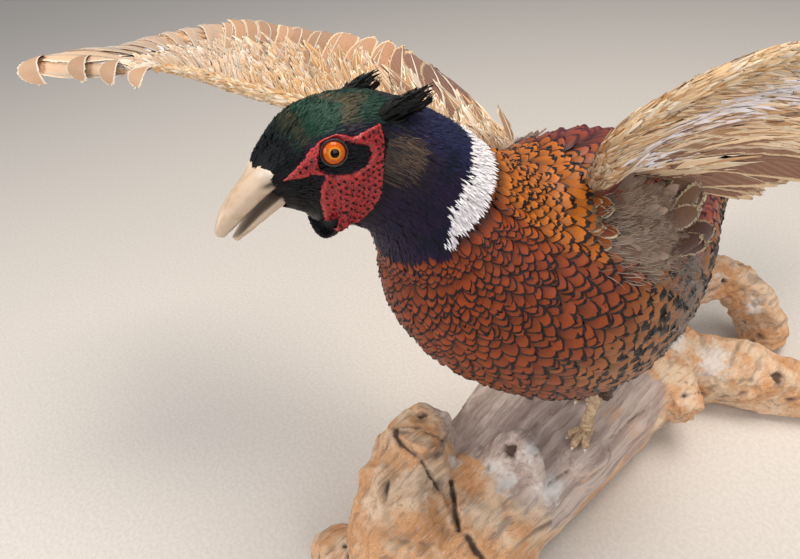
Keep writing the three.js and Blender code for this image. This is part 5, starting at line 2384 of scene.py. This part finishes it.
        # Ridges and flats on the burl and the roots, where the wood broke and wore unevenly.
        rugged = min(1.0, max(0.0, (-p.y - 60) / 30)) + min(1.0, max(0.0, (p.y - 130) / 50))
        lump += (1.4 - abs(noise.noise(p * 0.028 + Vector((2, 5, 8)))) * 9.0) * rugged
        lump += (0.5 - abs(noise.noise(p * 0.075))) * (1.6 + 0.5 * rugged)
        line = noise.noise(Vector((q.x * 0.10, q.y * 0.014, q.z * 0.10)))
        groove = 0.8 - abs(line) * 4.0
        fine = noise.noise(Vector((q.x * 0.34, q.y * 0.03, q.z * 0.34))) * 0.6
        near_feet = min(1.0, max(0.0, (math.hypot(p.x - 20, (p.y - 28) * 0.6) - 26) / 30))
        level = min(1.0, max(0.0, (p.z - 1.0) / 14))
        vert.co += vert.normal * ((lump + groove + fine) * near_feet - dark) * level * MM
        vert.co.z = max(vert.co.z, 0.0) if p.z > 0.6 else 0.0
        log = min(1.0, max(0.0, (p.y + 88) / 40)) * min(1.0, max(0.0, (170 - p.y) / 60))
        silver = 0.16 + 0.62 * log * min(1.0, max(0.0, (78 - p.x + 0.3 * (p.z - 60)) / 40))
        silver += 0.42 * noise.noise(p * 0.024)
        # Painted shade in the deep grooves of the burl and the roots.
        hollow_shade = max(0.0, -line * 1.6 - 0.45) if rugged else 0.0
        # The second number is painted shade, darkest deep in splits, knots and grooves.
        return (silver, min(1.0, dark / 3.2 + hollow_shade), chalk, 1.0)


# ---------- skin ----------


@dataclass(frozen=True)
class CuredSkin:
    """Cured bird skin between the feather bases: dull, with fine goose bumps."""

    name: str = "cured_skin"

    def material(self) -> bpy.types.Material:
        """Builds the material, coloured like the coat over it.

        Returns:
            The material.
        """
        material, tree, shader = new_material(self.name, 0.8)
        spot = add_node(tree, "TexCoord").outputs["Object"]
        ground = add_node(tree, "Attribute", attribute_name="ground").outputs[0]
        pores = add_node(tree, "TexNoise", {"Vector": spot, "Scale": 700.0, "Detail": 2.0})
        shade = mixed(tree, stepped(tree, pores.outputs[0], 0.45, 0.75, (0.0, 0.5)), ground, linear("#1a120f"))
        tree.links.new(shade, shader.inputs["Base Color"])
        bump = add_node(tree, "Bump", {"Strength": 0.3, "Distance": 0.0005, "Height": pores.outputs[0]})
        tree.links.new(bump.outputs[0], shader.inputs["Normal"])
        return material


@dataclass
class Skin:
    """One skin over every node of flesh, inside them by the depth of the coat."""

    flesh: tuple[str, ...]
    nodes: dict
    voxel: float = 0.0035
    depth: float = 0.0034

    def piece(self) -> bpy.types.Object:
        """Melts the nodes of flesh into one skin, smooths it and draws it in.

        Returns:
            The skin.
        """
        shape = bmesh.new()
        for name in self.flesh:
            shape.from_mesh(self.nodes[name].data)
        bmesh.ops.remove_doubles(shape, verts=shape.verts, dist=0.00001)
        mesh = bpy.data.meshes.new("skin")
        shape.to_mesh(mesh)
        shape.free()
        piece = as_object("skin", mesh, CuredSkin().material())
        remesh = piece.modifiers.new("melt", "REMESH")
        remesh.mode, remesh.voxel_size = "VOXEL", self.voxel
        depsgraph = bpy.context.evaluated_depsgraph_get()
        melted = bpy.data.meshes.new_from_object(piece.evaluated_get(depsgraph))
        piece.modifiers.clear()
        skin = bmesh.new()
        skin.from_mesh(melted)
        for _ in range(6):
            bmesh.ops.smooth_vert(skin, verts=skin.verts, factor=0.5, use_axis_x=True, use_axis_y=True, use_axis_z=True)
        skin.normal_update()
        for vert in skin.verts:
            vert.co -= vert.normal * min(self.depth, 0.0012 + max(0.0, vert.co.y + 0.20) * 0.03)
            sunk = np.interp(vert.co.y / MM, [-227, -215, -200, -177, -153, -134], [1.2, 3.2, 4.2, 3.8, 1.2, 0.0])
            vert.co.z -= sunk * min(1.0, max(0.0, (vert.co.z / MM - 448) / 12)) * MM
        bmesh.ops.triangulate(skin, faces=skin.faces)
        skin.to_mesh(mesh)
        skin.free()
        bpy.data.meshes.remove(melted)
        self.dress(mesh)
        mesh.polygons.foreach_set("use_smooth", np.ones(len(mesh.polygons), bool))
        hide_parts(*self.flesh)
        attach(piece, "root")
        LOG.info("skin: %d faces", len(mesh.polygons))
        return piece

    def dress(self, mesh: bpy.types.Mesh) -> None:
        """Gives the skin the markings of the coat and its own unwrap.

        Args:
            mesh: The skin's mesh.
        """
        spots = np.empty(len(mesh.vertices) * 3, np.float32)
        mesh.vertices.foreach_get("co", spots)
        spots = spots.reshape(-1, 3) / MM
        place, turn = nearest_on_body(spots)
        looks = looks_of(body_regions(place, turn), np.random.default_rng(3))
        surface = BODY.place(place, turn, np.zeros_like(place))
        away = (ease(np.linalg.norm(spots - surface, axis=-1), 5.0, 9.0) * (place < 8.8))[:, None]
        dark_face = (ease(place, 11.2, 12.0) + ease(place, 8.3, 8.8))[:, None].clip(0, 1)
        # Painted shade: the skin takes the coat's colours at six tenths, darker where it shows between the feathers.
        colours = looks[:, 0:3] * 0.6 * (1 - dark_face) + np.array(linear("#14161c")[:3]) * dark_face
        add_colours(mesh, "ground", colours * (1 - away) + np.array(linear("#a88a68")[:3]) * away)
        add_map(mesh, "OFBake", np.stack([(turn / (2 * np.pi)) % 1.0 * 0.98 + 0.01, 0.01 + 0.98 * (place + 1) / 14], axis=-1))


def nearest_on_body(spots: Array) -> tuple[Array, Array]:
    """Finds where points lie along and round the body line.

    Args:
        spots: The points.

    Returns:
        Places along the line and angles round it.
    """
    rows = np.array(BODY_LINE, float)
    places = np.linspace(0, len(rows) - 1, 281)
    line = smooth_between(rows, places)[:, :3]
    found = np.empty(len(spots), int)
    for start in range(0, len(spots), 20000):
        part = spots[start : start + 20000]
        found[start : start + 20000] = ((part[:, None, :] - line[None]) ** 2).sum(axis=-1).argmin(axis=1)
    here = places[found]
    ahead = line[np.minimum(found + 1, 280)] - line[np.maximum(found - 1, 0)]
    side = unit(np.cross(unit(ahead), (0.0, 0.0, 1.0)))
    upward = np.cross(side, unit(ahead))
    away = spots - line[found]
    turn = np.arctan2((away * upward).sum(axis=-1), (away * side).sum(axis=-1))
    return here - 1, turn % (2 * np.pi)


# ---------- stage ----------


@dataclass
class Studio:
    """A plain pale floor, soft lights and the camera."""

    floor_size: float = 14.0

    def camera(self) -> None:
        """Sets the camera above and to the bird's left front, looking down at it."""
        data = bpy.data.cameras.new("camera")
        data.sensor_width, data.lens = 36.0, 588.8 / 800 * 36
        eye = bpy.data.objects.new("camera", data)
        turn = Matrix.Rotation(math.radians(50), 3, "Z")
        tilt = Matrix.Rotation(math.radians(90 - 37.34), 3, "X")
        roll = Matrix.Rotation(math.radians(-5.40), 3, "Z")
        eye.matrix_world = Matrix.Translation((0.183, -0.318, 0.548)) @ (turn @ tilt @ roll).to_4x4()
        bpy.context.scene.collection.objects.link(eye)
        bpy.context.scene.camera = eye

    def floor(self) -> None:
        """Lays a flat floor."""
        shape = bmesh.new()
        bmesh.ops.create_grid(shape, x_segments=4, y_segments=4, size=self.floor_size / 2)
        mesh = bpy.data.meshes.new("floor")
        shape.to_mesh(mesh)
        shape.free()
        material, tree, shader = new_material("matt_floor_paint", 0.65)
        spot = add_node(tree, "TexCoord").outputs["Object"]
        speck = add_node(tree, "TexNoise", {"Vector": spot, "Scale": 260.0, "Detail": 3.0})
        tone = mixed(tree, stepped(tree, speck.outputs[0], 0.3, 0.7), linear("#d3cdc6"), linear("#dcd7d1"))
        tree.links.new(tone, shader.inputs["Base Color"])
        floor = as_object("floor", mesh, material)

    def lights(self) -> None:
        """Hangs a large soft lamp above, a weaker one in front and an even, pale sky."""
        world = bpy.data.worlds.new("studio")
        bpy.context.scene.world = world
        world.use_nodes = True
        sky = world.node_tree.nodes["Background"]
        sky.inputs[0].default_value = linear("#e6e8ec")
        sky.inputs[1].default_value = 0.42
        bpy.context.scene.view_settings.view_transform = "Standard"
        lamps = (
            ("key", (0.2, 0.35, 2.1), 1.1, 34.0, "#fff4e6"),
            ("fill", (-0.4, -1.9, 1.2), 1.2, 24.0, "#fbf7f5"),
            ("side", (1.9, -0.5, 1.3), 1.2, 12.0, "#ffffff"),
        )
        for name, spot, size, power, colour in lamps:
            data = bpy.data.lights.new(name, "AREA")
            data.size, data.energy, data.color = size, power, linear(colour)[:3]
            lamp = bpy.data.objects.new(name, data)
            lamp.location = spot
            aim = Vector((0.0, 0.0, 0.25)) - Vector(spot)
            lamp.rotation_euler = aim.to_track_quat("-Z", "Y").to_euler()
            bpy.context.scene.collection.objects.link(lamp)


FLESH = (
    "trunk", "neck", "head", "thigh_left", "thigh_right",
    "wing_left_arm", "wing_left_hand", "wing_right_arm", "wing_right_hand",
)


def main() -> None:
    """Builds every piece in order."""
    logging.basicConfig(level=logging.INFO, format="%(message)s", stream=sys.stdout)
    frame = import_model()
    studio = Studio()
    studio.camera()
    studio.floor()
    studio.lights()
    Skin(FLESH, frame["nodes"]).piece()
    contour = FeatherKeratin("contour_feather", 0.42, sheen=0.0, barbs=16.0, shaded=0.25, gloss=0.3).material()
    gloss = FeatherKeratin("neck_feather", 0.36, sheen=0.0, metallic=0.4, barbs=14.0, streak=0.6, gloss=0.3).material()
    white = FeatherKeratin("ring_feather", 0.6, barbs=12.0, streak=0.15, shaded=0.85).material()
    flight = FeatherKeratin("flight_feather", barbs=60.0, bars=26.0, streak=0.35, shaded=0.85).material()
    covert = FeatherKeratin("covert_feather", barbs=22.0, shaft=1.0, streak=0.4, shaded=0.8).material()
    lining = FeatherKeratin("lining_feather", barbs=22.0, streak=0.12, shaded=0.95).material()
    rectrix = FeatherKeratin("tail_feather", barbs=90.0, bars=40.0, shaft=1.0, streak=0.3).material()
    quill = FeatherKeratin("feather_shaft", roughness=0.35, barbs=8.0, streak=0.1).material()
    for piece in BodyCoat(contour).pieces():
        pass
    head = HeadCoat(gloss)
    for piece in [*head.pieces(), head.ring(white), *head.tufts()]:
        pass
    Wattles(WattleSkin().material(), gloss).pieces()
    Eyes(GlassEye().material(), LidSkin().material()).pieces()
    Bill(BillHorn().material()).pieces()
    for side, sign in SIDES:
        Wing(side, sign, LEFT_WING if sign > 0 else RIGHT_WING, flight, covert, lining, quill).pieces()
    Tail(rectrix, quill).pieces()
    scales, horn = LegScales().material(), BillHorn(name="claw_horn", pale="#6b5644", warm="#4a3a2e").material()
    thigh = ThighCoat(contour)
    for side, sign in SIDES:
        Leg(side, sign, HOCK_Y[side], GROUND[side], scales, horn).pieces()
        thigh.piece(side, sign)
    Down(FeatherKeratin("down_barbs", roughness=0.7, sheen=0.4, barb_depth=0.0).material()).pieces()
    Driftwood(frame["nodes"], WeatheredWood().material()).piece()


if __name__ == "__main__":
    main()
